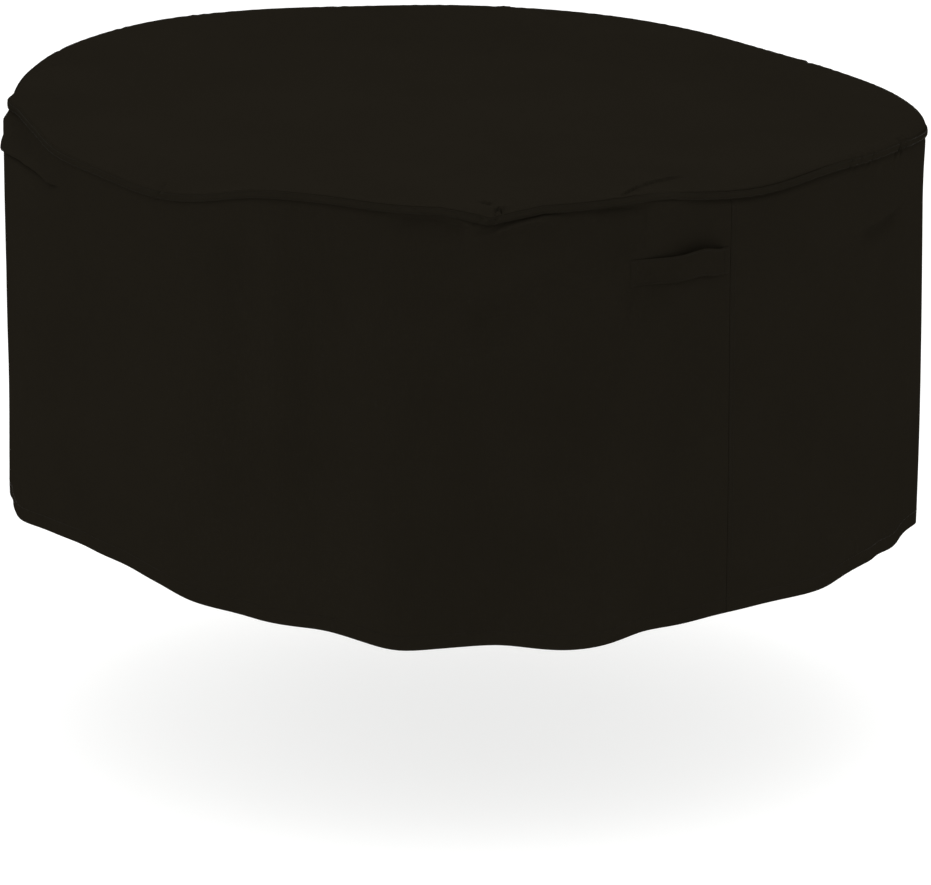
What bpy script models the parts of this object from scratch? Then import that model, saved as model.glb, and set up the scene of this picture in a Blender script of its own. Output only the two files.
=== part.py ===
"""Round patio furniture cover: a drum of coated cloth, in the shape in which it hangs.

The pieces are cut and sewn as on the real cover: one round top panel, a skirt of two halves
that lap at two upright seams, a narrow binding round the edge seam, and one handle strip.
The origin is the middle of the top panel's underside. -Y is the side with the handle.
A bearing is the angle round the cover in degrees, 0 at the handle and growing towards +X.
"""

import bpy
import numpy as np

MM = 0.001

# Driving dimensions in metres, angles in degrees.
RADIUS = 0.775              # of the edge seam, on average
DROP = 0.712                # from the edge seam down to the hem, on average
CLOTH = 0.0016              # thickness of the coated cloth
HEM_HEIGHT = 0.026          # the turned-up hem, twice as thick as the cloth
HEM_STEP = 0.004            # height over which the skirt thickens into its hem
SEWN_GAP = 0.0003           # between two pieces that are sewn together
COLUMN_STEP = 2.0           # between two upright rows of points

SEAM_BEARING = 6.6          # of the upright seam beside the handle; the other is opposite
LAP = 0.9                   # width of the lap at an upright seam, in degrees of bearing
TUCK_START = 179.0          # turns from a half's first edge between which its last edge
TUCK_END = 179.7            # goes in behind the other half

SHOULDER_START = 0.015      # the skirt hangs straight behind the binding down to here
SHOULDER = 0.110            # height over which it then eases from the edge seam's outline
                            # to the outline in which it hangs
SHORT_SHOULDER_BEARING = -110.0     # here it eases out over a shorter height
SHORT_SHOULDER_SPREAD = 9.0
SHORT_SHOULDER_SHARE = 0.16         # of SHOULDER that is left there

HANDLE_START = -6.7         # bearing of the handle's left end
HANDLE_END = 6.5            # bearing of its right end, at the upright seam
HANDLE_SEWN = 0.9           # width of each sewn end, in degrees of bearing
HANDLE_TOP = -0.089         # height of its upper edge where the bearing is 0,
HANDLE_TILT = 0.00037       # and how much higher that is for each degree
HANDLE_HEIGHT = 0.045
HANDLE_THICKNESS = 0.0026   # doubled cloth
HANDLE_BOW_TOP = 0.022      # how far the upper edge stands off the skirt
HANDLE_BOW_BOTTOM = 0.017   # how far the lower edge does
HANDLE_RISE = 0.0080        # how far the strip is drawn up here
HANDLE_RISE_BEARING = 1.5
HANDLE_RISE_SPREAD = 2.5

# Sections round the cover: where the edge seam and the hem lie, in millimetres out from
# RADIUS, and up from the middle of the top (seam) or from DROP (hem). Roll is how far the top
# panel rolls down over its edge before it reaches the seam.
SECTION_COLUMNS = ("bearing", "seam_out", "seam_up", "roll", "hem_out", "hem_up")
SECTIONS = (
    (-176, 12, 9, 3, 6, 10),
    (-162, 20, 13, 3, 4, 20),
    (-146, 16, 10, 3, -8, 14),
    (-132, -4, 8, 3, 0, 26),
    (-118, -18, 10, 3, 5, 34),
    (-112, -11, 14, 3, 5, 39),
    (-106, -24, 17, 3, 5, 50),
    (-96, -24, 15, 3, 5, 60),
    (-86, -8, 9, 3, -4, 66),
    (-76, -3, 4, 3, -6, 63),
    (-66, 4, -6, 3, 2, 53),
    (-60, 7, -1, 3, 4, 36),
    (-52, -4, 16, 3, -2, 20),
    (-44, -16, 15, 3, -4, 14),
    (-34, -6, 8, 3, 6, -3),
    (-23, 2, 8, 3, 4, 2),
    (-14, -6, 8, 3, 5, -8),
    (-4, -12, 12, 3, -4, 7),
    (10, -2, 2, 5, -4, 18),
    (22, 2, 13, 7, 5, 18),
    (30, 2, 10, 8, 3, 35),
    (40, -1, 2, 9, -6, 21),
    (50, -4, -14, 14, -10, 19),
    (64, -5, -38, 22, -6, -14),
    (78, -22, -40, 19, -15, 0),
    (92, -47, -30, 9, -30, 12),
    (106, -60, -19, 3, -36, 6),
    (120, -52, -9, 3, -28, 14),
    (134, -30, -4, 3, -14, 6),
    (154, -4, -1, 3, -6, 12),
    (168, 4, 1, 3, -4, 18),
)
ROLL_WIDTH = 0.003          # width of the roll at the edge, and how much wider it is for
ROLL_SLOPE = 0.6            # each unit of its depth

# The edge seam is pulled down to a point here.
SEAM_DIP_BEARING = -23.4
SEAM_DIP_SPREAD = 6.0
SEAM_DIP_DEPTH = 0.014

# Soft folds that run down the skirt: bearings at the top and at the hem, spread in degrees,
# and how far each stands out (ridge) or lies in (trough), in millimetres.
FOLD_COLUMNS = ("top_bearing", "hem_bearing", "spread", "top_out", "middle_out", "hem_out")
FOLDS = (
    (-172, -171, 5.0, -6, -9, -7),
    (-157, -158, 4.5, 5, 10, 8),
    (-143, -143, 6.0, -5, -9, -6),
    (-128, -127, 4.5, 5, 9, 8),
    (-112, -111, 5.0, -5, -9, -6),
    (-96, -96, 5.0, 4, 10, 8),
    (-79, -79, 8.0, -4, -8, -6),
    (-63, -62, 4.5, 6, 10, 8),
    (-53, -55, 3.2, -9, -12, -7),
    (-50.6, -51, 1.8, 9, 4, 0),
    (-45, -44, 3.2, -9, -12, -6),
    (-36.5, -34.5, 3.5, 6, 11, 8),
    (-23.5, -23.5, 6.0, -4, -8, -6),
    (-11, -10.5, 4.0, 4, 9, 8),
    (-2, -4, 3.0, -3, -8, -4),
    (31, 30, 4.0, 4, 9, 10),
    (54, 52, 6.0, 3, 8, 6),
    (69, 70, 4.0, -6, -10, -6),
    (84, 86, 5.0, 5, 10, 8),
    (99, 98, 5.0, -6, -10, -8),
    (113, 114, 4.0, 5, 9, 7),
    (128, 126, 5.0, -5, -9, -7),
    (143, 145, 4.0, 5, 10, 8),
    (158, 156, 6.0, -5, -9, -5),
    (173, 172, 4.5, 5, 9, 8),
)

# Slanting troughs in the skirt, from one point to another: bearings, distances below the
# edge seam, and how wide and how deep each is, in millimetres.
SLANT_COLUMNS = ("bearing_a", "below_a", "bearing_b", "below_b", "spread", "out")
SLANTS = (
    (-104, 52, -85, 62, 22, -7),
    (30, 108, 40, 112, 26, -5),
    (38, 220, 14, 400, 60, -7),
    (14, 400, 18, 660, 50, -5),
    (-80, 200, -88, 430, 30, -5),
    (-5, 150, -15, 420, 34, -7),
    (-8, 90, -24, 175, 30, -5),
)

# Soft rises and hollows of the top panel: bearing, distance from the middle, spread and
# rise, in millimetres but for the bearing.
TOP_WAVE_COLUMNS = ("bearing", "from_middle", "spread", "rise")
TOP_WAVES = (
    (0, 660, 60, 7),
    (-60, 560, 130, 5),
    (-30, 500, 150, -6),
    (-8, 600, 110, 5),
    (40, 540, 140, -6),
    (95, 480, 160, -7),
    (150, 560, 130, 4),
    (-130, 540, 150, -6),
)

# Rows of points: distances below the edge seam on the skirt, shares of the way out from the
# middle on the top panel, whose last row but one is set to where its edge starts to roll. The
# handle lies between two rows of the skirt, given by number.
SKIRT_ROWS = (0.0, SHOULDER_START, 0.036, 0.090, 0.150, 0.225, 0.330, 0.460, 0.590)
HANDLE_ROWS = (3, 4)
HANDLE_BOWED_COLUMNS = 15
TOP_ROWS = (0.35, 0.60, 0.76, 0.86, 0.94, 0.98, 1.0)
HEM_ROWS = 2

# Shares of the way out from the middle of the top panel.
TOP_FLAT = 0.45             # it is flat up to here
TOP_DIP_START = 0.82        # the pointed dip in the edge seam draws the panel down from here
TOP_WAVE_FADE = 0.2         # width of the outer band in which the soft rises fade out

# Cross-section of the binding: out from and up from the edge seam, in millimetres.
BINDING_COLUMNS = ("out", "up")
BINDING_SECTION = (
    (1.6, 0.9),
    (3.4, -1.5),
    (4.0, -8.0),
    (2.6, -12.6),
    (0.3, -12.0),
    (0.3, 0.2),
)


def ease(share):
    """A smooth step from 0 to 1."""
    share = np.clip(share, 0.0, 1.0)
    return share * share * (3.0 - 2.0 * share)


def column(rows, names, name):
    """One named column of a table, as an array."""
    return np.array(rows, dtype=float)[:, names.index(name)]


def round_the_cover(bearing, name):
    """One column of SECTIONS as a smooth curve round the cover (cubic, through every row)."""
    known = column(SECTIONS, SECTION_COLUMNS, "bearing")
    value = column(SECTIONS, SECTION_COLUMNS, name)
    known = np.concatenate((known[-2:] - 360.0, known, known[:3] + 360.0))
    value = np.concatenate((value[-2:], value, value[:3]))
    bearing = (np.asarray(bearing) - known[2]) % 360.0 + known[2]
    i = np.searchsorted(known, bearing, side="right") - 1
    width = known[i + 1] - known[i]
    t = (bearing - known[i]) / width
    slope_a = (value[i + 1] - value[i - 1]) / (known[i + 1] - known[i - 1]) * width
    slope_b = (value[i + 2] - value[i]) / (known[i + 2] - known[i]) * width
    start = value[i] * (2.0 * t**3 - 3.0 * t**2 + 1.0) + slope_a * (t**3 - 2.0 * t**2 + t)
    end = value[i + 1] * (3.0 * t**2 - 2.0 * t**3) + slope_b * (t**3 - t**2)
    return (start + end) * MM


def turn_between(bearing, other):
    """The signed turn from another bearing, between -180 and 180 degrees."""
    return (bearing - other + 180.0) % 360.0 - 180.0


def place(bearing, radius, height):
    """Points from a bearing, a distance from the upright axis and a height."""
    angle = np.radians(bearing)
    return np.stack(np.broadcast_arrays(radius * np.sin(angle), -radius * np.cos(angle), height), -1)


def seam_radius(bearing):
    return RADIUS + round_the_cover(bearing, "seam_out")


def seam_height(bearing):
    """The edge seam's height: its smooth curve and the pointed dip in it."""
    away = np.abs(turn_between(bearing, SEAM_DIP_BEARING)) / SEAM_DIP_SPREAD
    return round_the_cover(bearing, "seam_up") - SEAM_DIP_DEPTH * np.clip(1.0 - away, 0.0, 1.0)


def skirt_length(bearing):
    return seam_height(bearing) + DROP - round_the_cover(bearing, "hem_up")


def fold_depth(bearing, share):
    """How far the upright folds stand out at a share of the skirt's length."""
    out = np.zeros(np.broadcast(bearing, share).shape)
    for top_bearing, hem_bearing, spread, top_out, middle_out, hem_out in FOLDS:
        turn = turn_between(bearing, top_bearing + (hem_bearing - top_bearing) * share)
        upper = top_out + (middle_out - top_out) * ease(share / 0.5)
        lower = (hem_out - middle_out) * ease((share - 0.5) / 0.5)
        out = out + (upper + lower) * MM * np.exp(-(turn / spread) ** 2)
    return out


def slant_depth(bearing, below):
    """How far the slanting troughs set the skirt in or out at a distance below the edge seam."""
    out = np.zeros(np.broadcast(bearing, below).shape)
    metres_a_degree = np.radians(RADIUS)
    for bearing_a, below_a, bearing_b, below_b, spread, slant_out in SLANTS:
        run_x = (bearing_b - bearing_a) * metres_a_degree
        run_y = (below_b - below_a) * MM
        from_x = turn_between(bearing, bearing_a) * metres_a_degree
        from_y = below - below_a * MM
        along = np.clip((from_x * run_x + from_y * run_y) / (run_x**2 + run_y**2), 0.0, 1.0)
        away = np.hypot(from_x - along * run_x, from_y - along * run_y)
        out = out + slant_out * MM * np.exp(-(away / (spread * MM)) ** 2)
    return out


def shoulder_ease(bearing, below):
    """From 0 behind the binding to 1 where the skirt hangs in its own outline."""
    shorter = np.exp(-(turn_between(bearing, SHORT_SHOULDER_BEARING) / SHORT_SHOULDER_SPREAD) ** 2)
    height = SHOULDER * (1.0 - (1.0 - SHORT_SHOULDER_SHARE) * shorter)
    return ease((below - SHOULDER_START) / height)


def skirt_radius(bearing, below):
    """The skirt's outer face, at a distance below the edge seam."""
    share = below / skirt_length(bearing)
    hanging = RADIUS + round_the_cover(bearing, "hem_out")
    eased = shoulder_ease(bearing, below)
    outline = seam_radius(bearing) + (hanging - seam_radius(bearing)) * eased
    return outline + fold_depth(bearing, share) * eased + slant_depth(bearing, below)


def roll_width(bearing):
    return ROLL_WIDTH + ROLL_SLOPE * round_the_cover(bearing, "roll")


def top_height(bearing, share):
    """The top panel's upper face.

    It is flat in the middle, eases to the height of its edge, and rolls over the edge to the
    seam in a quarter of an ellipse.
    """
    smooth_height = round_the_cover(bearing, "seam_up")
    roll = round_the_cover(bearing, "roll")
    edge_height = smooth_height + roll
    height = CLOTH + (edge_height - CLOTH) * ease((share - TOP_FLAT) / (1.0 - TOP_FLAT))
    inward = np.clip(seam_radius(bearing) * (1.0 - share) / roll_width(bearing), 0.0, 1.0)
    height = height - roll * (1.0 - np.sqrt(1.0 - (1.0 - inward) ** 2))
    near_seam = ease((share - TOP_DIP_START) / (1.0 - TOP_DIP_START))
    height = height + (seam_height(bearing) - smooth_height) * near_seam
    point = place(bearing, seam_radius(bearing) * share, 0.0)
    for wave_bearing, from_middle, spread, rise in TOP_WAVES:
        middle = place(wave_bearing, from_middle * MM, 0.0)
        away = np.linalg.norm(point - middle, axis=-1) / (spread * MM)
        height = height + rise * MM * np.exp(-away**2) * ease((1.0 - share) / TOP_WAVE_FADE)
    return height


def grid_mesh(name, points, closed_round=False, closed_section=False, middle=None):
    """A mesh of four-sided faces over a grid of points, rows by columns.

    The last column can be joined to the first, and the last row to the first. A point in the
    middle is joined to the first row with triangles.
    """
    rows, columns = points.shape[:2]
    index = np.arange(rows * columns).reshape(rows, columns)
    if closed_round:
        index = np.concatenate((index, index[:, :1]), axis=1)
    if closed_section:
        index = np.concatenate((index, index[:1]), axis=0)
    quads = np.stack((index[:-1, :-1], index[1:, :-1], index[1:, 1:], index[:-1, 1:]), -1)
    corners = points.reshape(-1, 3).tolist()
    faces = quads.reshape(-1, 4).tolist()
    if middle is not None:
        corners.append(middle)
        first_row = index[0]
        centre = np.full(first_row.size - 1, rows * columns)
        faces += np.stack((centre, first_row[:-1], first_row[1:]), -1).tolist()
    mesh = bpy.data.meshes.new(name)
    mesh.from_pydata(corners, [], faces)
    return mesh


def add_object(name, mesh, collection, material, sharp_degrees=60.0):
    mesh.shade_smooth()
    mesh.set_sharp_from_angle(angle=np.radians(sharp_degrees))
    mesh.materials.append(material)
    made = bpy.data.objects.new(name, mesh)
    collection.objects.link(made)
    return made


def add_thickness(made, thickness, thinner_group=""):
    """Give an open sheet its thickness, behind its faces."""
    shell = made.modifiers.new("Thickness", "SOLIDIFY")
    shell.thickness = thickness
    shell.offset = -1.0
    shell.vertex_group = thinner_group


def cloth_material(name, colour, roughness):
    material = bpy.data.materials.new(name)
    material.use_nodes = True
    shader = material.node_tree.nodes["Principled BSDF"]
    shader.inputs["Base Color"].default_value = (*colour, 1.0)
    shader.inputs["Roughness"].default_value = roughness
    shader.inputs["Metallic"].default_value = 0.0
    material.diffuse_color = (*colour, 1.0)
    return material


def half_columns():
    """Turns from a skirt half's first edge, with closer columns for the lap at both ends."""
    even = np.arange(0.0, 180.0 + COLUMN_STEP / 2.0, COLUMN_STEP)
    return np.sort(np.concatenate((even, (LAP, TUCK_START, TUCK_END))))


def ring_bearings():
    """The bearings of every column round the cover, the same for all pieces at the edge seam."""
    half = half_columns()[:-1]
    return SEAM_BEARING + np.concatenate((half, half + 180.0))


def build_top_panel(collection):
    """The round top: rings of points from the middle out to the edge seam."""
    bearing = ring_bearings()[None, :]
    share = np.array(TOP_ROWS)[:, None] + 0.0 * bearing
    share[-2] = 1.0 - roll_width(bearing) / seam_radius(bearing)
    rings = place(bearing, seam_radius(bearing) * share, top_height(bearing, share))
    mesh = grid_mesh("top_panel", rings, closed_round=True, middle=(0.0, 0.0, CLOTH))
    material = cloth_material("top_cloth", (0.0125, 0.0112, 0.0090), 0.62)
    top = add_object("top_panel", mesh, collection, material)
    add_thickness(top, CLOTH)


def build_skirt_half(name, first_bearing, collection):
    """Half of the skirt. Its last edge is tucked behind the first edge of the other half."""
    turn = np.append(half_columns(), 180.0 + LAP)
    bearing = (first_bearing + turn)[None, :]
    length = skirt_length(bearing)
    upper = [np.full(bearing.shape, row) for row in SKIRT_ROWS]
    upper[0] = upper[0] + CLOTH + SEWN_GAP
    lower = [length - HEM_HEIGHT - HEM_STEP, length - HEM_HEIGHT, length]
    below = np.concatenate(upper + lower, axis=0)
    cloth_rows = len(below) - HEM_ROWS
    layers = np.repeat((1.0, 2.0), (cloth_rows, HEM_ROWS))[:, None]
    tucked = ease((turn - TUCK_START) / (TUCK_END - TUCK_START)) * (layers * CLOTH + SEWN_GAP)
    grid = place(bearing, skirt_radius(bearing, below) - tucked, seam_height(bearing) - below)
    mesh = grid_mesh(name, grid)
    material = cloth_material(name + "_cloth", (0.0108, 0.0096, 0.0077), 0.66)
    skirt = add_object(name, mesh, collection, material)
    first_hem_point = cloth_rows * turn.size
    share_of_hem = skirt.vertex_groups.new(name="share_of_hem")
    share_of_hem.add(list(range(first_hem_point)), 0.5, "REPLACE")
    share_of_hem.add(list(range(first_hem_point, below.size)), 1.0, "REPLACE")
    add_thickness(skirt, 2.0 * CLOTH, "share_of_hem")


def build_edge_binding(collection):
    """The folded strip round the edge seam: one cross-section carried all the way round."""
    bearing = ring_bearings()[None, :]
    out = column(BINDING_SECTION, BINDING_COLUMNS, "out")[:, None] * MM
    up = column(BINDING_SECTION, BINDING_COLUMNS, "up")[:, None] * MM
    rings = place(bearing, seam_radius(bearing) + out, seam_height(bearing) + up)
    mesh = grid_mesh("edge_binding", rings, closed_round=True, closed_section=True)
    material = cloth_material("binding_cloth", (0.0098, 0.0088, 0.0072), 0.58)
    add_object("edge_binding", mesh, collection, material)


def build_handle(collection):
    """The handle: a strip sewn flat at both ends and bowed away from the skirt between them."""
    sewn = (HANDLE_START, HANDLE_START + HANDLE_SEWN, HANDLE_END - HANDLE_SEWN, HANDLE_END)
    bowed = np.linspace(sewn[1], sewn[2], HANDLE_BOWED_COLUMNS)
    bearing = np.concatenate((sewn[:1], bowed, sewn[3:]))[None, :]
    down = np.array((0.0, 0.5, 1.0))[:, None]
    slack = np.sin(np.pi * np.clip((bearing - sewn[1]) / (sewn[2] - sewn[1]), 0.0, 1.0)) ** 1.3
    rise = HANDLE_RISE * np.exp(-((bearing - HANDLE_RISE_BEARING) / HANDLE_RISE_SPREAD) ** 2)
    height = HANDLE_TOP + HANDLE_TILT * bearing - HANDLE_HEIGHT * down
    height = height + rise * slack * (1.0 - 0.3 * down)
    upper_row, lower_row = (SKIRT_ROWS[row] for row in HANDLE_ROWS)
    share = (seam_height(bearing) - height - upper_row) / (lower_row - upper_row)
    behind_top = skirt_radius(bearing, upper_row)
    behind = behind_top + (skirt_radius(bearing, lower_row) - behind_top) * share
    bow = HANDLE_BOW_TOP + (HANDLE_BOW_BOTTOM - HANDLE_BOW_TOP) * down
    strip = place(bearing, behind + SEWN_GAP + HANDLE_THICKNESS + bow * slack, height)
    mesh = grid_mesh("handle", strip)
    material = cloth_material("handle_cloth", (0.0112, 0.0100, 0.0080), 0.62)
    handle = add_object("handle", mesh, collection, material)
    add_thickness(handle, HANDLE_THICKNESS)


def main():
    for old in list(bpy.data.objects):
        bpy.data.objects.remove(old, do_unlink=True)
    cover = bpy.data.collections.new("patio_furniture_cover")
    bpy.context.scene.collection.children.link(cover)
    build_top_panel(cover)
    build_skirt_half("skirt_left", SEAM_BEARING - 180.0, cover)
    build_skirt_half("skirt_right", SEAM_BEARING, cover)
    build_edge_binding(cover)
    build_handle(cover)


main()
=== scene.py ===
"""The looks of a round patio furniture cover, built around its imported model.

The cover is sewn from two skirt halves, a round top panel, a binding tape round the edge seam
and a handle strip, all of near-black coated polyester with black thread. Each piece is a
surface worked out with numpy from the tables below, in metres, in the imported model's frame:
+Z is up and -Y is the side with the handle. A bearing is the angle round the cover in
degrees, 0 at the handle and growing towards +X.
"""

import bpy
import numpy as np
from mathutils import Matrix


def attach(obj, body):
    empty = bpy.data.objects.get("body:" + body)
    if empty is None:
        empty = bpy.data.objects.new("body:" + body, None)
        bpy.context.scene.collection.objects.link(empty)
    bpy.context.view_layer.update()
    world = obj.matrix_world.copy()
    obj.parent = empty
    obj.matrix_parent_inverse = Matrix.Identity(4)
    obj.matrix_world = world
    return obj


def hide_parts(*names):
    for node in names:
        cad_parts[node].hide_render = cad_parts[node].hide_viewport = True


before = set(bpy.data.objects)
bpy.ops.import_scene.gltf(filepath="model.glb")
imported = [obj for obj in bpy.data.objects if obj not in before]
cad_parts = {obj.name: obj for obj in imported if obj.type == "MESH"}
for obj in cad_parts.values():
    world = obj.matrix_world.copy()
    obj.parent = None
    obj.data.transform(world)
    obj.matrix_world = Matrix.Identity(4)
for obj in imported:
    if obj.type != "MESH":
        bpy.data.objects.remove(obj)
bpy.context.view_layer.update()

bl_info = {
    "name": "Round patio furniture cover",
    "version": (1, 0, 0),
    "blender": (4, 5, 0),
    "location": "View3D > Sidebar > Cover",
    "description": "Sews a round cover of near-black polyester around its packed model",
    "category": "Object",
}

MM = 0.001
BODY = "root"

# ---------------------------------------------------------------- the cut and sewn shape

# Driving dimensions in metres, angles in degrees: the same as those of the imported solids.
RADIUS = 0.775              # of the edge seam, on average
DROP = 0.712                # from the edge seam down to the hem, on average
HEM_HEIGHT = 0.026
TOP_THICKNESS = 0.0016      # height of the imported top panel's upper face over its underside
SEWN_GAP = 0.0003
SEAM_OVERLAP = 0.005        # from here up the skirt moves in behind the top panel's turned edge,
SEAM_OVERLAP_EASE = 0.0015  # over this height,
CLEARANCE = 0.0001          # and is kept this much clear of it, as a lap is of what it covers
SEAM_UNEVEN = 0.0003        # how far up and down the sewing of the edge seam wavers
SEAM_BEARING = 6.6          # of the upright seam beside the handle; the other is opposite
ALL_ROUND = (SEAM_BEARING - 180.0, SEAM_BEARING + 180.0)
LAP = 0.9                   # width of the lap at an upright seam, in degrees
TUCK_START = 179.955        # turns from a half's first edge between which its last edge
TUCK_END = 179.995          # goes in behind the other half,
TUCK_HEM_ABOVE = 0.006      # further in from this far above the hem's turned-up cloth,
TUCK_HEM_EASE = 0.004       # and the height over which that grows
SHOULDER_START = 0.015      # the skirt hangs straight behind the binding down to here
SHOULDER = 0.110            # height over which it eases into the outline in which it hangs
SHORT_SHOULDER_BEARING = -110.0     # here it eases out over a shorter height
SHORT_SHOULDER_SPREAD = 9.0
SHORT_SHOULDER_SHARE = 0.16         # of SHOULDER that is left there
SHORT_SHOULDER_RISE = 0.35          # and how much sooner it starts, as a share
RIPPLE_EASE = 0.12          # height over which the cloth's ripples grow

HANDLE_START = -6.7
HANDLE_END = 6.5
HANDLE_SEWN = 0.9           # width of each sewn end, in degrees of bearing
HANDLE_TOP = -0.089         # height of its upper edge where the bearing is 0,
HANDLE_TILT = 0.00037       # and how much higher that is for each degree
HANDLE_HEIGHT = 0.045
HANDLE_THICKNESS = 0.0016
HANDLE_BOW_TOP = 0.017      # how far the upper edge stands off the skirt
HANDLE_BOW_BOTTOM = 0.006
HANDLE_RISE = 0.0085        # how far the strip is drawn up here
HANDLE_RISE_BEARING = 2.0
HANDLE_RISE_SPREAD = 2.8
HANDLE_RISE_BELOW = 0.7     # share of the rise that its lower edge has
HANDLE_SKEW = 1.90          # how far right of its middle the strip bows most
HANDLE_UNEVEN = 0.0006
HANDLE_CURL = 0.0016        # how far its middle lies in from both long edges
HANDLE_CURL_REACH = 0.35
HANDLE_EDGE_POWER = 12      # how late the strip thins towards its long edges,
HANDLE_EDGE_SHARE = 0.25    # and the share of its thickness that it has there
HANDLE_PRESSED = 0.12       # share of its thickness at the very ends,
HANDLE_PRESSED_GAP = 0.2    # share of the sewn gap there,
HANDLE_LOOSE = 0.6          # and degrees over which both grow

# Sections round the cover: where the edge seam and the hem lie, in millimetres out from
# RADIUS, and up from the middle of the top (seam) or from DROP (hem). Roll is how far the top
# panel rolls down over its edge before it reaches the seam.
SECTION_COLUMNS = ("bearing", "seam_out", "seam_up", "roll", "hem_out", "hem_up")
SECTIONS = (
    (-176, 12, 9, 3, 6, 10),
    (-162, 20, 13, 3, 4, 20),
    (-146, 16, 10, 3, -8, 14),
    (-132, -4, 8, 3, 0, 26),
    (-118, -18, 10, 3, 5, 34),
    (-112, -11, 14, 3, 5, 39),
    (-106, -24, 17, 3, 5, 50),
    (-96, -24, 15, 3, 5, 60),
    (-86, -8, 9, 3, -4, 66),
    (-76, -3, 4, 3, -6, 63),
    (-66, 4, -6, 3, 2, 53),
    (-60, 7, -1, 3, 4, 36),
    (-52, -4, 16, 3, -2, 20),
    (-44, -16, 15, 3, -4, 14),
    (-34, -6, 8, 3, 6, -3),
    (-23, 2, 8, 3, 4, 2),
    (-14, -6, 8, 3, 5, -8),
    (-4, -12, 12, 3, -4, 7),
    (10, -2, 2, 5, -4, 18),
    (22, 2, 13, 7, 5, 18),
    (30, 2, 10, 8, 3, 35),
    (40, -1, 2, 9, -6, 21),
    (50, -4, -14, 14, -10, 19),
    (64, -5, -38, 22, -6, -14),
    (78, -22, -40, 19, -15, 0),
    (92, -47, -30, 9, -30, 12),
    (106, -60, -19, 3, -36, 6),
    (120, -52, -9, 3, -28, 14),
    (134, -30, -4, 3, -14, 6),
    (154, -4, -1, 3, -6, 12),
    (168, 4, 1, 3, -4, 18),
)
ROLL_WIDTH = 0.003          # width of the roll at the edge, and how much wider it is for
ROLL_SLOPE = 0.6            # each unit of its depth

# The edge seam is pulled down to a point here.
SEAM_DIP_BEARING = -23.4
SEAM_DIP_SPREAD = 6.0
SEAM_DIP_DEPTH = 0.014

# How the edge is sewn: how far the tape's lower edge leans out, how far the skirt is drawn in
# under it, and how far the tape's upper edge is pushed up against the top panel, in millimetres.
EDGE_COLUMNS = ("bearing", "lean", "drawn_in", "seat")
EDGES = (
    (-172, 1.0, 0.8, 0.5),
    (-150, 1.6, 1.4, 0.2),
    (-126, 0.6, 0.8, 0.6),
    (-108, 0.0, 0.2, 3.4),
    (-70, 0.0, 0.4, 3.0),
    (-46, 0.6, 0.8, 0.9),
    (-31, 0.8, 1.2, 0.4),
    (-21, 0.9, 0.8, 0.9),
    (-13, 1.2, 1.8, 0.6),
    (-7.5, 1.8, 3.0, 0.4),
    (-3.5, 0.0, 0.0, 1.2),
    (-0.5, 0.0, 0.0, 1.2),
    (3, 1.2, 2.0, 0.7),
    (8, 1.8, 3.0, 0.2),
    (18, 1.6, 2.8, 0.5),
    (27, 1.3, 2.4, 2.6),
    (40, 0.5, 1.2, 3.0),
    (56, 0.3, 0.8, 1.0),
    (90, 1.0, 1.2, 0.3),
    (130, 1.4, 1.6, 0.2),
    (160, 0.8, 0.8, 0.5),
)
DRAWN_IN_BELOW = 0.0125     # the skirt is drawn in most this far below the seam
DRAWN_IN_REACH = 0.0060

# Gathers of the skirt beside its sewn edges: where they start below the edge seam, how soon
# they are full, where they are deepest and how far they reach; and beside the hem, how far they
# reach and how deep they are as a share of the others.
GATHER_START = 0.010
GATHER_RISE = 0.012
GATHER_DEEPEST = 0.020
GATHER_REACH = 0.034
HEM_GATHER_REACH = 0.020
HEM_GATHER_SHARE = 0.8

# Places where the edge seam is pinched in or puffs out: bearing and spread in degrees, and
# how far out and up the seam moves, in millimetres.
PINCH_REACH = 0.018         # distance from the seam over which a pinch fades out
PINCH_SLANT = 80.0          # degrees by which a pinch has moved round, a metre below the seam
PINCH_COLUMNS = ("bearing", "spread", "out", "up")
PINCHES = (
    (-64.6, 0.45, -3.0, -1.5),
    (-63.6, 0.60, 2.5, 1.0),
    (-23.6, 1.60, 0.0, -3.5),
    (-24.3, 0.30, -2.0, 0.0),
    (-23.5, 0.30, 1.5, 0.8),
    (-22.7, 0.30, -2.5, 0.0),
    (-8.6, 0.60, -2.0, -0.5),
    (26.6, 0.30, -2.5, -0.8),
    (27.6, 0.40, 1.5, 0.5),
    (28.6, 0.30, -2.0, -0.8),
    (31.6, 0.35, -3.0, -1.0),
    (36.0, 1.20, 2.0, 1.0),
    (40.0, 0.45, -9.0, -2.0),
    (41.0, 0.35, 3.5, 1.5),
    (41.9, 0.50, -10.0, -2.5),
    (44.0, 1.40, 2.0, 0.5),
    (47.5, 0.50, -2.0, -0.5),
    (-143.0, 0.50, -2.5, -1.0),
    (97.0, 0.50, -2.5, -1.0),
    (98.1, 0.60, 2.0, 1.0),
)

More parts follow.
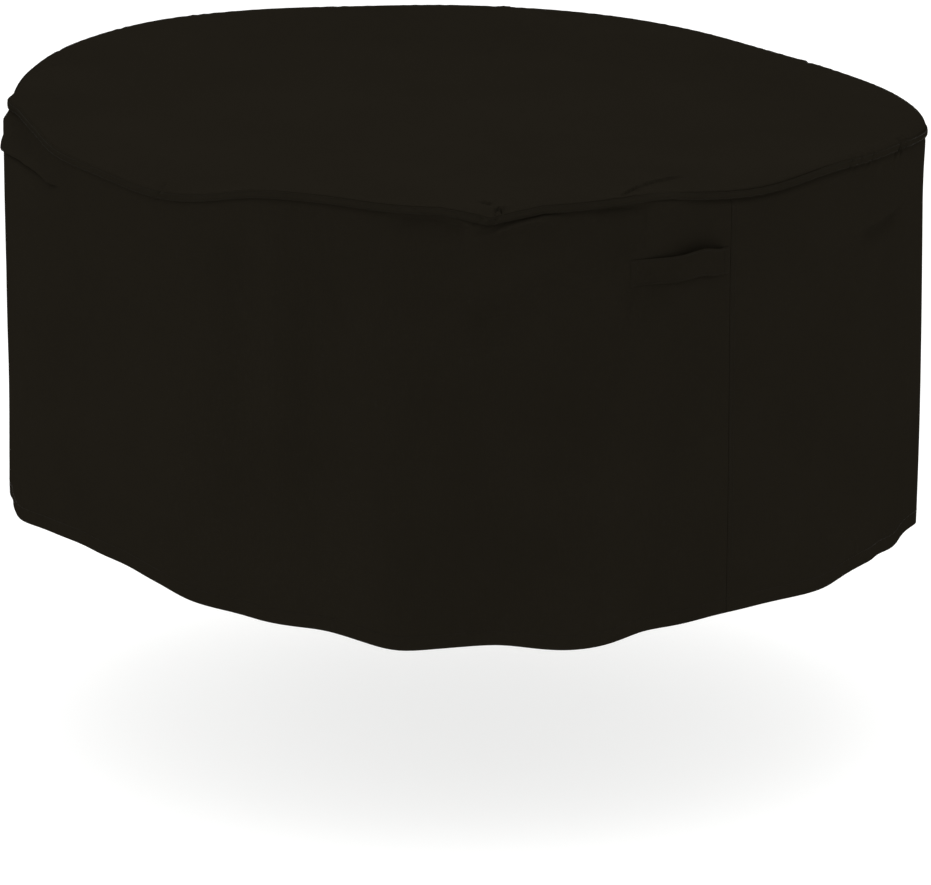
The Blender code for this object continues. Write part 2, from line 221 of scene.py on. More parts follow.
# Soft folds that run down the skirt: bearings at the top and at the hem, spread in degrees,
# and how far each stands out (ridge) or lies in (trough) at the top, half way down and at the
# hem, in millimetres.
FOLDS = (
    (-172, -171, 5.0, -6, -9, -7),
    (-157, -158, 4.5, 5, 10, 8),
    (-143, -143, 6.0, -5, -9, -6),
    (-128, -127, 4.5, 5, 9, 8),
    (-112, -111, 5.0, -5, -9, -6),
    (-96, -96, 5.0, 4, 10, 8),
    (-79, -79, 8.0, -4, -8, -6),
    (-63, -62, 4.5, 6, 10, 8),
    (-53, -55, 3.2, -9, -12, -7),
    (-50.6, -51, 1.8, 9, 4, 0),
    (-45, -44, 3.2, -9, -12, -6),
    (-36.5, -34.5, 3.5, 6, 11, 8),
    (-23.5, -23.5, 6.0, -4, -8, -6),
    (-11, -10.5, 4.0, 4, 9, 8),
    (-2, -4, 3.0, -3, -8, -4),
    (31, 30, 4.0, 4, 9, 10),
    (54, 52, 6.0, 3, 8, 6),
    (69, 70, 4.0, -6, -10, -6),
    (84, 86, 5.0, 5, 10, 8),
    (99, 98, 5.0, -6, -10, -8),
    (113, 114, 4.0, 5, 9, 7),
    (128, 126, 5.0, -5, -9, -7),
    (143, 145, 4.0, 5, 10, 8),
    (158, 156, 6.0, -5, -9, -5),
    (173, 172, 4.5, 5, 9, 8),
)

# Slanting soft troughs in the skirt: the bearing and the distance below the edge seam of one
# end, then of the other, and how wide and how far out each is, in millimetres.
SLANTS = (
    (38, 220, 14, 400, 60, -7),
    (14, 400, 18, 660, 50, -5),
    (-80, 200, -88, 430, 30, -5),
    (-5, 150, -15, 420, 36, -14),
    (-8, 90, -24, 175, 30, -12),
)

# Soft rises and hollows of the top panel: bearing, distance from the middle, spread and
# rise, in millimetres but for the bearing.
TOP_WAVES = (
    (0, 660, 60, 4),
    (-60, 560, 130, 5),
    (-30, 500, 150, -6),
    (-8, 600, 110, 5),
    (40, 540, 140, -6),
    (95, 480, 160, -7),
    (150, 560, 130, 4),
    (-130, 540, 150, -6),
)
TOP_FLAT = 0.45             # share of the way out up to which the top is flat
TOP_DIP_START = 0.82        # share from which the pointed dip in the seam draws it down
TOP_WAVE_FADE = 0.2         # outer band in which the soft rises fade out
TOP_DIP_REACH = 0.09        # distance from the seam over which its dip fades out,
TOP_SLIGHT = 0.0011         # depth of the slight waves,
TOP_SLIGHT_EASE = 0.06      # distance over which they grow,
TOP_CREASE_EASE = 0.005     # over which the creases do,
TOP_GATHER = 0.0003         # and depth of the gathers along the edge,
TOP_GATHER_EASE = 0.004     # how soon they start and how far they reach
TOP_GATHER_REACH = 0.022
EDGE_PUFF = 0.9             # how far the panel puffs out over the tape, as a share of the seat
EDGE_PUFF_REACH = 0.0015
EDGE_PUFF_ROLL = 0.008      # depth of the roll at which it does so fully

# Creases: a line of points; the height of the lip on one side of it and the depth of the
# groove on the other; how far lip and groove reach; the half width of the step between them;
# how far the lip hangs over the groove; and the shares of the line over which the crease
# starts and ends. Sizes are in millimetres.

# On the skirt the points are (bearing, millimetres below the edge seam). The lip is above a
# line that runs to the right.
SKIRT_CREASES = (
    # the sharp tuck at the left
    (((-107, 58), (-103, 57), (-99.5, 56.5), (-95.2, 55.5), (-92, 54), (-89.5, 54.5), (-85.2, 62)),
     7.0, 4.5, 15, 8, 0.8, 6, 0.05, 0.16),
    # the ridge that hangs from the point of the seam
    (((-15.0, 14), (-18.5, 16), (-21.3, 18), (-23.0, 23), (-24.6, 32), (-26.5, 46)),
     10.5, 0.2, 17, 8, 4.0, 0, 0.20, 0.40),
    # the hollows under the tape left of that point and left of the handle
    (((-36, 15), (-30, 16), (-25.4, 23)), 0.3, 7.5, 6, 32, 5.0, 0, 0.35, 0.20),
    (((-12, 14), (-8, 14), (-3.5, 16)), 0.2, 5.0, 6, 20, 4.0, 0, 0.35, 0.35),
    # the soft crease at the right, and its foot
    (((25.5, 126), (31.5, 121), (38.3, 118), (44.0, 108)), 6.0, 12.0, 26, 26, 9.0, 0, 0.35, 0.30),
    (((15.0, 168), (23.0, 150), (31.0, 134)), 2.5, 4.5, 34, 30, 14.0, 0, 0.45, 0.35),
    # a pull from the handle's left end up to the seam, and one below it
    (((-4.7, 17), (-4.9, 88)), 2.2, 0.8, 7, 9, 2.5, 0, 0.25, 0.10),
    (((-5.9, 150), (-6.6, 190), (-8.4, 240)), 2.6, 1.5, 12, 12, 4.0, 0, 0.10, 0.60),
    # pulls along the ridges at the left
    (((-50.5, 24), (-50.7, 180), (-51.0, 330)), 1.8, 1.8, 9, 9, 3.0, 0, 0.15, 0.50),
    (((-43.9, 50), (-43.2, 110), (-42.2, 165), (-40.7, 210), (-39.4, 290)),
     1.8, 1.8, 12, 9, 3.0, 0, 0.25, 0.40),
    # pulls out of sight at the back
    (((158, 40), (149, 64), (141, 72)), 4, 3, 22, 14, 3.0, 2, 0.25, 0.25),
    (((-150, 58), (-143, 50), (-136, 52)), 4, 3, 22, 14, 3.0, 2, 0.25, 0.25),
    (((97, 16), (94, 120), (91, 230)), 3, 2, 18, 14, 5.0, 0, 0.15, 0.60),
)

# On the top panel the points are (bearing, millimetres in from the edge seam). The lip is on
# the right of the line as one goes along it.
TOP_CREASES = (
    # the long crease that leaves the seam left of the handle
    (((6.8, 113), (3.3, 92), (0.3, 73), (-1.4, 65), (-3.3, 52), (-5.3, 34), (-6.9, 16), (-7.9, 1)),
     3.2, 1.5, 30, 9, 1.2, 1.8, 0.35, 0.05),
    # the short hooked crease at the left
    (((-64.6, 0), (-65.6, 22), (-66.6, 40), (-68.2, 56)), 2.4, 2.4, 14, 10, 1.8, 0, 0.05, 0.50),
    # the pleats at the point of the seam
    (((-22.8, 44), (-23.6, 45), (-24.5, 49), (-25.2, 52)), 2.5, 2.5, 8, 5, 1.0, 1, 0.30, 0.40),
    (((-22.8, 0), (-22.7, 14), (-22.5, 34)), 5.0, 5.0, 4, 4, 0.8, 1.4, 0.03, 0.30),
    (((-22.05, 0), (-22.0, 14), (-21.8, 32)), 5.0, 5.0, 4, 4, 0.8, 1.4, 0.03, 0.30),
    # the rounded edge right of that point
    (((-22.0, 14), (-19.5, 12), (-17.0, 16), (-14.0, 18)), 4.0, 0.8, 9, 12, 3.0, 0, 0.20, 0.40),
    # pulls out of sight at the back
    (((150, 2), (144, 46), (136, 84)), 6, 3, 30, 16, 3.0, 2, 0.20, 0.50),
    (((-128, 2), (-133, 40), (-140, 66)), 5, 3, 26, 14, 3.0, 1, 0.20, 0.50),
)

# The tape at the edge seam tips up here, and the skirt behind it puffs out.
TAPE_TIP_BEARING = -2.4
TAPE_TIP_SPREAD = 3.6
TAPE_TIP = 42.0             # degrees
TAPE_TIP_SKIRT = 0.0068     # how far the skirt puffs out,
TAPE_TIP_SLOPE = 0.72       # how steeply it does so from the seam down,
TAPE_TIP_FULL = 0.0095      # how far down it is still full,
TAPE_TIP_REACH = 0.030      # and how far it reaches from there

# The section of the binding tape: a rounded flat bar, in millimetres out from and up from
# the edge seam.
TAPE_OUT = 1.9
TAPE_UP = -6.1
TAPE_HALF_THICKNESS = 1.7
TAPE_HALF_HEIGHT = 5.7
TAPE_ROUNDNESS = 3.4
TAPE_BEHIND = 0.5           # how far its back reaches into the seam, as a share of its seat
TAPE_DENT = 0.75            # depth and reach of the dents along its stitches
TAPE_DENT_REACH = 0.9
TAPE_PUFF_UP = -6.4         # where it puffs out between them, how far, and how unevenly
TAPE_PUFF_REACH = 3.0
TAPE_PUFF = 0.25
TAPE_UNEVEN = 0.45
TAPE_EDGE_UP = -11.6        # where its lower edge is uneven too
TAPE_EDGE_REACH = 1.6
TAPE_POINTS = 28
TAPE_WIDTH = 0.0305         # of the tape before it is folded

# Rows of stitches: on the tape, in millimetres up from the seam; on the hem, down from the edge
# of the turned-up cloth; on each lap, in degrees from its edge and in runs below the edge seam;
# and on the handle, as a share of its height and in degrees from its ends.
TAPE_STITCH_ROWS = (-2.8, -10.0)
HEM_STITCH_DOWN = 0.003
HEM_STITCH_DENT = 0.0004
HEM_STITCH_REACH = 0.0012
LAP_STITCH_TURNS = (0.22, 0.68)
LAP_STITCH_RUNS = ((0.018, 0.36), (0.36, DROP - 0.070))
HANDLE_STITCH_IN = 0.075
HANDLE_STITCH_REACH = 0.02  # of the dent along a row, as a share of the strip's height,
HANDLE_STITCH_DENT = 0.25   # and its depth as a share of the strip's thickness
HANDLE_STITCH_END = 0.20
HANDLE_BOX_WIDTH = 0.62
HANDLE_BOX_IN = 0.12

# Rows and columns of points: where each band starts and ends, and its step.
SKIRT_BANDS = (             # millimetres below the edge seam
    (1.5, 5, 1.75),
    (5, 12, 3.5),
    (12, 36, 2.2),
    (36, 50, 2.8),
    (50, 70, 1.0),
    (70, 124, 4.0),
    (124, 180, 7.0),
)
SKIRT_STEP = 0.016          # between rows further down
HEM_BANDS = (               # millimetres above the fold of the hem
    (36, 29, -3.5),
    (29, 23, -1.0),
    (23, 3, -4.0),
    (3, 0.8, -1.1),
)
HEM_ARC_POINTS = 5
HEM_INNER_POINTS = 6
HEM_FOLD_SHIFT = 0.001      # of the weave on the inner half of the fold
FIRST_COLUMN = 0.2          # an extra column, in degrees from a half's first edge
TOP_BANDS = (               # millimetres in from the edge seam; below 0, down behind the tape
    (-3, 0, 1.5),
    (0, 6, 0.6),
    (6, 18, 1.5),
    (18, 44, 2.0),
    (44, 128, 2.8),
    (128, 200, 12.0),
    (200, 720, 40.0),
)
COLUMN_STEP = 0.8           # degrees
EDGE_COLUMN_BANDS = (       # bearings at which pinches and creases need closer columns
    (-67.0, -62.0, 0.25),
    (-27.5, -18.5, 0.2),
    (-9.0, 6.0, 0.3),
    (25.8, 32.6, 0.2),
    (38.0, 44.0, 0.15),
)
SKIRT_COLUMN_BANDS = (      # and those at which the skirt does too
    (-108.0, -83.8, 0.3),
)
CLOSEST_COLUMNS = 0.11      # columns nearer than this are left out
SHARP_ANGLE = np.radians(55.0)      # edges bent more than this are shaded sharp
HANDLE_COLUMNS = 89
HANDLE_ROWS = 19

# Seeds of the wavy numbers, by where they are used.
SEEDS = {
    "ripples": 5, "seam": 11, "under seam": 21, "hem": 31,
    "panel edge": 41, "tape": 51, "tape edge": 61, "handle": 71,
}

# The studio: where each softbox stands (bearing, distance from the axis and height), its size
# and its power in watts. Each is turned towards the same point.
SOFTBOXES = {
    "key_softbox": (-100.0, 5.2, 1.8, (3.6, 3.2), 42.0),
    "side_softbox": (60.0, 6.0, 1.8, (3.0, 3.0), 36.0),
    "overhead_softbox": (-26.0, 1.2, 5.0, (6.5, 6.5), 84.0),
    "near_softbox": (-45.0, 0.5, 1.6, (0.9, 0.9), 4.5),
}
LIGHT_AIM = (0.0, 0.0, -0.35)
FLOOR_RINGS = (0.4, 1.0, 2.0, 4.0, 8.0, 16.0, 32.0, 60.0)
WHITE = (1.0, 1.0, 1.0, 1.0)
DUST_COLOUR = (0.060, 0.056, 0.048, 1.0)

# ---------------------------------------------------------------- user settings


def length_setting(name, description, default, low, high):
    """A length that a user can set, in metres."""
    return bpy.props.FloatProperty(
        name=name, description=description, default=default, min=low, max=high,
        precision=4, subtype="DISTANCE", unit="LENGTH",
    )


def colour_setting(name, description, default):
    """A base colour that a user can set, as linear values."""
    return bpy.props.FloatVectorProperty(
        name=name, description=description, default=default,
        size=3, min=0.0, max=1.0, precision=4, subtype="COLOR",
    )


def strength_setting(name, description, default):
    """The strength of a light that a user can set."""
    return bpy.props.FloatProperty(name=name, description=description, default=default, min=0.0, max=5.0)


def angle_setting(name, description, degrees):
    """An angle that a user can set."""
    return bpy.props.FloatProperty(
        name=name, description=description, default=np.radians(degrees), subtype="ANGLE", unit="ROTATION",
    )


class CoverSizes(bpy.types.PropertyGroup):
    """Sizes of the cloth and of the sewing."""

    cloth: length_setting("Cloth", "Thickness of the coated cloth", 0.0006, 0.0004, 0.0016)
    ripple: length_setting("Ripple", "Depth of the hanging cloth's fine unevenness", 0.0008, 0.0, 0.003)
    pucker: length_setting("Pucker", "Depth of the gathers along the skirt's sewn edges", 0.0004, 0.0, 0.002)
    stitch: length_setting("Stitch", "Length of one visible stitch", 0.0034, 0.002, 0.006)
    stitch_pitch: length_setting("Stitch pitch", "From one stitch to the next", 0.0044, 0.003, 0.008)
    thread: length_setting("Thread", "Gauge of the sewing thread", 0.0009, 0.0003, 0.0015)
    weave: length_setting("Weave", "Width of one thread of the woven cloth", 0.0009, 0.0004, 0.003)


class CoverColours(bpy.types.PropertyGroup):
    """Base colours."""

    cloth: colour_setting("Cloth", "Skirt and top panel", (0.0102, 0.0086, 0.0060))
    tape: colour_setting("Tape", "Binding round the edge seam", (0.0099, 0.0084, 0.0058))
    handle: colour_setting("Handle", "Handle strip", (0.0102, 0.0086, 0.0060))
    thread: colour_setting("Thread", "Sewing thread", (0.0102, 0.0086, 0.0061))
    floor: colour_setting("Floor", "Plain pale floor", (0.45, 0.45, 0.447))


class StageSettings(bpy.types.PropertyGroup):
    """Floor, light and camera."""

    floor_height: length_setting("Floor", "Height of the floor", -1.09, -3.0, -0.72)
    floor_glow: strength_setting("Floor glow", "Strength of the light that the floor gives off", 1.6)
    surround: strength_setting("Surround", "Strength of the even light from all round", 0.95)
    camera_bearing: angle_setting("Camera bearing", "Bearing of the camera round the cover", -26.5)
    camera_distance: length_setting("Camera distance", "Level distance from the axis", 10.106, 2.0, 40.0)
    camera_height: length_setting("Camera height", "Height above the origin", 2.317, -1.0, 20.0)
    camera_pitch: angle_setting("Camera pitch", "How far the camera looks down", 16.08)
    lens: bpy.props.FloatProperty(
        name="Lens", description="Focal length on a 36 mm sensor", default=238.3, min=10.0, max=600.0,
        subtype="DISTANCE_CAMERA", unit="CAMERA",
    )


# ---------------------------------------------------------------- numbers and curves


def ease(share):
    """A smooth step from 0 to 1: three shares squared less two shares cubed."""
    share = np.clip(share, 0.0, 1.0)
    return share * share * (3.0 - 2.0 * share)


def hill(away):
    """A round hill one unit high: e to the power of minus the distance squared."""
    return np.exp(-np.square(away))


def column(rows, names, name):
    """One named column of a table, as an array."""
    return np.array([row[names.index(name)] for row in rows], dtype=float)


def bands(rows):
    """Numbers that run through bands, each from its first to its last in steps of about its own."""
    runs = []
    for first, last, step in rows:
        count = max(1, int(round((last - first) / step)))
        runs.append(np.linspace(first, last, count + 1)[:-1])
    runs.append(np.array([rows[-1][1]]))
    return np.concatenate(runs)


def turn_between(bearing, other):
    """The signed turn from another bearing, between -180 and 180 degrees."""
    return (bearing - other + 180.0) % 360.0 - 180.0


def place(bearing, radius, height):
    """Points at a bearing, a distance from the upright axis and a height."""
    angle = np.radians(bearing)
    return np.stack(np.broadcast_arrays(radius * np.sin(angle), -radius * np.cos(angle), height), -1)


def unit(vectors):
    """Vectors divided by their lengths."""
    return vectors / np.linalg.norm(vectors, axis=-1, keepdims=True)


def round_the_cover(bearing, name, rows=SECTIONS, names=SECTION_COLUMNS):
    """One column of a table as a smooth curve round the cover (cubic, through every row)."""
    known = column(rows, names, "bearing")
    value = column(rows, names, name)
    known = np.concatenate((known[-2:] - 360.0, known, known[:3] + 360.0))
    value = np.concatenate((value[-2:], value, value[:3]))
    bearing = (np.asarray(bearing) - known[2]) % 360.0 + known[2]
    i = np.searchsorted(known, bearing, side="right") - 1
    width = known[i + 1] - known[i]
    t = (bearing - known[i]) / width
    slope_a = (value[i + 1] - value[i - 1]) / (known[i + 1] - known[i - 1]) * width
    slope_b = (value[i + 2] - value[i]) / (known[i + 2] - known[i]) * width
    start = value[i] * (2.0 * t**3 - 3.0 * t**2 + 1.0) + slope_a * (t**3 - 2.0 * t**2 + t)
    end = value[i + 1] * (3.0 * t**2 - 2.0 * t**3) + slope_b * (t**3 - t**2)
    return (start + end) * MM


def edge_curve(bearing, name):
    """One column of EDGES as a smooth curve round the cover."""
    return round_the_cover(bearing, name, EDGES, EDGE_COLUMNS)


def hill_round(bearing, middle, spread):
    """A hill round the cover, by its bearing and its spread in degrees."""
    return hill(turn_between(bearing, middle) / spread)


def round_waves(bearing, fewest, most, seed, count=6):
    """A wavy number of about one unit: a sum of sines, each with a whole number of waves round."""
    dice = np.random.default_rng(seed)
    numbers = dice.integers(fewest, most + 1, count)
    starts = dice.uniform(0.0, 2.0 * np.pi, count)
    total = np.zeros(np.shape(bearing))
    for number, start in zip(numbers, starts):
        total = total + np.sin(number * np.radians(bearing) + start)
    return total / np.sqrt(count / 2.0)


def puckers(bearing, seed):
    """Small gathers along a sewn edge: short waves, stronger in some places than in others."""
    short = round_waves(bearing, 130, 330, seed, 9)
    strength = 0.35 + 0.65 * ease(0.5 + 0.5 * round_waves(bearing, 3, 19, seed + 1, 5))
    return short * strength


def ripples(bearing, down, seed):
    """Fine unevenness of hanging cloth: sines that run mostly upright, whole waves round."""
    dice = np.random.default_rng(seed)
    total = np.zeros(np.broadcast(bearing, down).shape)
    for _ in range(12):
        around = int(dice.integers(9, 46)) * int(dice.choice((-1, 1)))
        downward = dice.uniform(-13.0, 13.0)
        start = dice.uniform(0.0, 2.0 * np.pi)
        total = total + np.sin(around * np.radians(bearing) + downward * down + start)
    return total / np.sqrt(6.0)


# ---------------------------------------------------------------- creases


def along_line(x, y, points):
    """Where points lie against a line of straight stretches.

    Gives the distance across it, positive on the left of the way along it as seen with +Z
    towards the eye, the share of the way along it, and the direction across it.
    """
    steps = np.diff(points, axis=0)
    lengths = np.hypot(steps[:, 0], steps[:, 1])
    before = np.concatenate(((0.0,), np.cumsum(lengths)))
    nearest = np.full(np.shape(x), np.inf)
    across = np.zeros(np.shape(x))
    share = np.zeros(np.shape(x))
    left_x = np.zeros(np.shape(x))
    left_y = np.zeros(np.shape(x))
    for i, (start, step, length) in enumerate(zip(points, steps, lengths)):
        from_x = x - start[0]
        from_y = y - start[1]
        along = np.clip((from_x * step[0] + from_y * step[1]) / length**2, 0.0, 1.0)
        away = np.hypot(from_x - along * step[0], from_y - along * step[1])
        side = np.sign(step[0] * from_y - step[1] * from_x)
        nearer = away < nearest
        nearest = np.where(nearer, away, nearest)
        across = np.where(nearer, side * away, across)
        share = np.where(nearer, (before[i] + along * length) / before[-1], share)
        left_x = np.where(nearer, -step[1] / length, left_x)
        left_y = np.where(nearer, step[0] / length, left_y)
    return across, share, left_x, left_y


def crease_shape(x, y, points, row):
    """One crease: how far each point moves out, and how far it moves over x and y.

    On the lip's side (across below 0) the height is lip times a hill of the distance, on the
    other side it is minus groove times a hill, and an eased step joins the two. The lip's edge
    also moves across by the lap.
    """
    lip, groove, lip_reach, groove_reach, step, lap, start, end = row
    across, share, left_x, left_y = along_line(x, y, points)
    fade = ease(share / start) * ease((1.0 - share) / end)
    over = ease(0.5 + across / (2.0 * step * MM))
    lip_side = lip * hill(np.minimum(across, 0.0) / (lip_reach * MM))
    groove_side = -groove * hill(np.maximum(across, 0.0) / (groove_reach * MM))
    out = fade * (lip_side * (1.0 - over) + groove_side * over) * MM
    reach = 0.4 * lip_reach + step
    move = fade * lap * MM * (1.0 - over) * hill(np.minimum(across, 0.0) / (reach * MM))
    return out, move * left_x, move * left_y


def all_creases(rows, lay_out):
    """All creases of a table together: how far points move out, and over x and y.

    Laying out gives, for the points of one crease's line, x and y of the surface and the line.
    """
    moved = 0.0
    for points, *row in rows:
        moved = moved + np.array(crease_shape(*lay_out(np.array(points, dtype=float)), row))
    return moved


def skirt_creases(bearing, below):
    """The skirt's creases, on the skirt rolled out flat.

    x is the way round at RADIUS and y is the distance below the seam.
    """
    bearing, below = np.broadcast_arrays(bearing, below)

    def lay_out(points):
        middle = points[len(points) // 2, 0]
        line = (np.radians(turn_between(points[:, 0], middle)) * RADIUS, points[:, 1] * MM)
        return np.radians(turn_between(bearing, middle)) * RADIUS, below, np.stack(line, -1)

    return all_creases(SKIRT_CREASES, lay_out)


def top_creases(bearing, radius):
    """The top panel's creases, in plan."""
    plan = place(bearing, radius, 0.0)

    def lay_out(points):
        line = place(points[:, 0], seam_radius(points[:, 0]) - points[:, 1] * MM, 0.0)[:, :2]
        return plan[..., 0], plan[..., 1], line

    return all_creases(TOP_CREASES, lay_out)


# ---------------------------------------------------------------- the surfaces


def pinch(bearing, name):
    """One column of PINCHES: a sum of hills round the seam."""
    moved = np.zeros(np.shape(bearing))
    for row in PINCHES:
        moved = moved + row[PINCH_COLUMNS.index(name)] * MM * hill_round(bearing, row[0], row[1])
    return moved


def seam_radius(bearing):
    """The edge seam's distance from the axis, without its pinches."""
    return RADIUS + round_the_cover(bearing, "seam_out")


def seam_height(bearing):
    """The edge seam's height: its smooth curve and the pointed dip, without its pinches."""
    away = np.abs(turn_between(bearing, SEAM_DIP_BEARING)) / SEAM_DIP_SPREAD
    return round_the_cover(bearing, "seam_up") - SEAM_DIP_DEPTH * np.clip(1.0 - away, 0.0, 1.0)


def pinch_out(bearing, below=0.0):
    """How far the pinches move the seam, or what hangs below it, out. They slant to the left."""
    return pinch(bearing + PINCH_SLANT * below, "out")


def pinch_up(bearing, below=0.0):
    """How far the pinches and the slight unevenness of sewing move the seam up."""
    slanting = bearing + PINCH_SLANT * below
    return pinch(slanting, "up") + SEAM_UNEVEN * puckers(bearing, SEEDS["seam"])


def skirt_length(bearing):
    """The skirt's length from the edge seam to the fold of its hem."""
    return seam_height(bearing) + DROP - round_the_cover(bearing, "hem_up")


def fold_depth(bearing, share):
    """How far the upright folds stand out: hills round the cover, eased from top to hem."""
    out = np.zeros(np.broadcast(bearing, share).shape)
    for top_bearing, hem_bearing, spread, top_out, middle_out, hem_out in FOLDS:
        middle = top_bearing + (hem_bearing - top_bearing) * share
        upper = top_out + (middle_out - top_out) * ease(share / 0.5)
        lower = (hem_out - middle_out) * ease((share - 0.5) / 0.5)
        out = out + (upper + lower) * MM * hill_round(bearing, middle, spread)
    return out


def slant_depth(bearing, below):
    """How far the slanting troughs lie in: hills across a straight line on the rolled-out skirt."""
    out = np.zeros(np.broadcast(bearing, below).shape)
    for bearing_a, below_a, bearing_b, below_b, spread, slant_out in SLANTS:
        around = np.radians(turn_between(bearing, bearing_a)) * RADIUS
        line = ((0.0, below_a * MM), (np.radians(bearing_b - bearing_a) * RADIUS, below_b * MM))
        across = along_line(*np.broadcast_arrays(around, below), np.array(line))[0]
        out = out + slant_out * MM * hill(across / (spread * MM))
    return out


def shoulder_ease(bearing, below):
    """From 0 behind the tape to 1 where the skirt hangs in its own outline: an eased step."""
    shorter = hill_round(bearing, SHORT_SHOULDER_BEARING, SHORT_SHOULDER_SPREAD)
    height = SHOULDER * (1.0 - (1.0 - SHORT_SHOULDER_SHARE) * shorter)
    start = SHOULDER_START * (1.0 - SHORT_SHOULDER_RISE * shorter)
    return ease((below - start) / height)


def skirt_radius(bearing, below):
    """The hanging skirt's distance from the axis, without its creases and ripples."""
    share = below / skirt_length(bearing)
    hanging = RADIUS + round_the_cover(bearing, "hem_out")
    eased = shoulder_ease(bearing, below)
    outline = seam_radius(bearing) + (hanging - seam_radius(bearing)) * eased
    return outline + fold_depth(bearing, share) * eased + slant_depth(bearing, below)


def tape_tip(bearing):
    """How far the tape is tipped up here, from 0 to 1."""
    return hill_round(bearing, TAPE_TIP_BEARING, TAPE_TIP_SPREAD) ** 1.5


def skirt_point(bearing, below, sizes, inward=0.0):
    """Points of the skirt's outer face.

    The radius is that of the hanging skirt, with creases, ripples that grow from the seam down,
    gathers that are strongest beside the binding and beside the hem's stitches, the puff
    behind the tipped tape, and the seam's pinches, which fade out below it. Under the tape the
    skirt is drawn in, and its upper edge lies inside that of the top panel. Points then move
    round and down by the creases' laps.
    """
    length = skirt_length(bearing)
    crease_out, around, down = skirt_creases(bearing, below)
    ripple = sizes.ripple * ripples(bearing, below, SEEDS["ripples"])
    ripple = ripple * ease((below - SHOULDER_START) / RIPPLE_EASE)
    beside_seam = ease((below - GATHER_START) / GATHER_RISE)
    beside_seam = beside_seam * hill((below - GATHER_DEEPEST) / GATHER_REACH)
    beside_hem = hill((below - (length - HEM_HEIGHT)) / HEM_GATHER_REACH)
    gathers = puckers(bearing, SEEDS["under seam"]) * beside_seam
    gathers = gathers + HEM_GATHER_SHARE * puckers(bearing, SEEDS["hem"]) * beside_hem
    from_stitches = below - (length - HEM_HEIGHT + HEM_STITCH_DOWN)
    hem_dent = HEM_STITCH_DENT * hill(from_stitches / HEM_STITCH_REACH)
    puff = np.minimum(TAPE_TIP_SLOPE * below, TAPE_TIP_SKIRT)
    puff = puff * hill(np.maximum(below - TAPE_TIP_FULL, 0.0) / TAPE_TIP_REACH)
    radius = skirt_radius(bearing, below) + crease_out + ripple + sizes.pucker * gathers - hem_dent
    drawn_in = edge_curve(bearing, "drawn_in")
    radius = radius - drawn_in * hill((below - DRAWN_IN_BELOW) / DRAWN_IN_REACH)
    pinched = hill(below / PINCH_REACH)
    radius = radius + puff * tape_tip(bearing) + pinch_out(bearing, below) * pinched - inward
    radius = radius - (sizes.cloth + CLEARANCE) * ease((SEAM_OVERLAP - below) / SEAM_OVERLAP_EASE)
    moved = bearing + np.degrees(around / RADIUS)
    height = seam_height(bearing) + pinch_up(bearing, below) * pinched - below - down
    return place(moved, radius, height)


def top_point(bearing, inset):
    """Points of the top panel's upper face at a distance in from the edge seam.

    The height eases from the flat middle to that of the edge and then rolls down to the seam in
    a quarter of an ellipse. Where the tape's upper edge is pushed up, the panel puffs out over
    it in half a hill. Near the seam come its pointed dip and its pinches, and over the rest soft
    rises, creases and slight waves. Where the distance is below 0, the cloth goes straight down
    behind the tape by that much.
    """
    edge = seam_radius(bearing)
    behind_tape = np.maximum(-inset, 0.0)
    inset = np.maximum(inset, 0.0)
    share = np.maximum(edge - inset, 0.0) / edge
    pinched = hill(inset / PINCH_REACH)
    radius = edge * share + pinch_out(bearing) * pinched
    smooth_height = round_the_cover(bearing, "seam_up")
    roll = round_the_cover(bearing, "roll")
    puff = EDGE_PUFF * edge_curve(bearing, "seat")
    puff = puff * np.clip(roll / EDGE_PUFF_ROLL, 0.0, 1.0)
    radius = radius + puff * hill(inset / EDGE_PUFF_REACH) * (behind_tape == 0.0)
    edge_height = smooth_height + roll
    height = TOP_THICKNESS + (edge_height - TOP_THICKNESS) * ease((share - TOP_FLAT) / (1.0 - TOP_FLAT))
    inward = np.clip(inset / (ROLL_WIDTH + ROLL_SLOPE * roll), 0.0, 1.0)
    height = height - roll * (1.0 - np.sqrt(1.0 - (1.0 - inward) ** 2)) - behind_tape
    near_seam = ease((share - TOP_DIP_START) / (1.0 - TOP_DIP_START))
    local = seam_height(bearing) - smooth_height
    height = height + local * near_seam * hill(inset / TOP_DIP_REACH) + pinch_up(bearing) * pinched
    plan = place(bearing, radius, 0.0)
    for wave_bearing, from_middle, spread, rise in TOP_WAVES:
        middle = place(wave_bearing, from_middle * MM, 0.0)
        away = np.linalg.norm(plan - middle, axis=-1) / (spread * MM)
        height = height + rise * MM * hill(away) * ease((1.0 - share) / TOP_WAVE_FADE)
    up, east, north = top_creases(bearing, radius)
    off_seam = ease(inset / TOP_CREASE_EASE)
    slight = np.sin(plan[..., 0] * 21.0 + 1.3) * np.sin(plan[..., 1] * 17.0 + 0.4)
    slight = slight + 0.7 * np.sin(plan[..., 0] * 9.0 - plan[..., 1] * 31.0 + 2.1)
    height = height + up * off_seam + TOP_SLIGHT * slight * ease(inset / TOP_SLIGHT_EASE)
    gathers = TOP_GATHER * puckers(bearing, SEEDS["panel edge"])
    height = height + gathers * ease(inset / TOP_GATHER_EASE) * hill(inset / TOP_GATHER_REACH)
    points = place(bearing, radius, height)
    points[..., 0] += east * off_seam
    points[..., 1] += north * off_seam
    return points


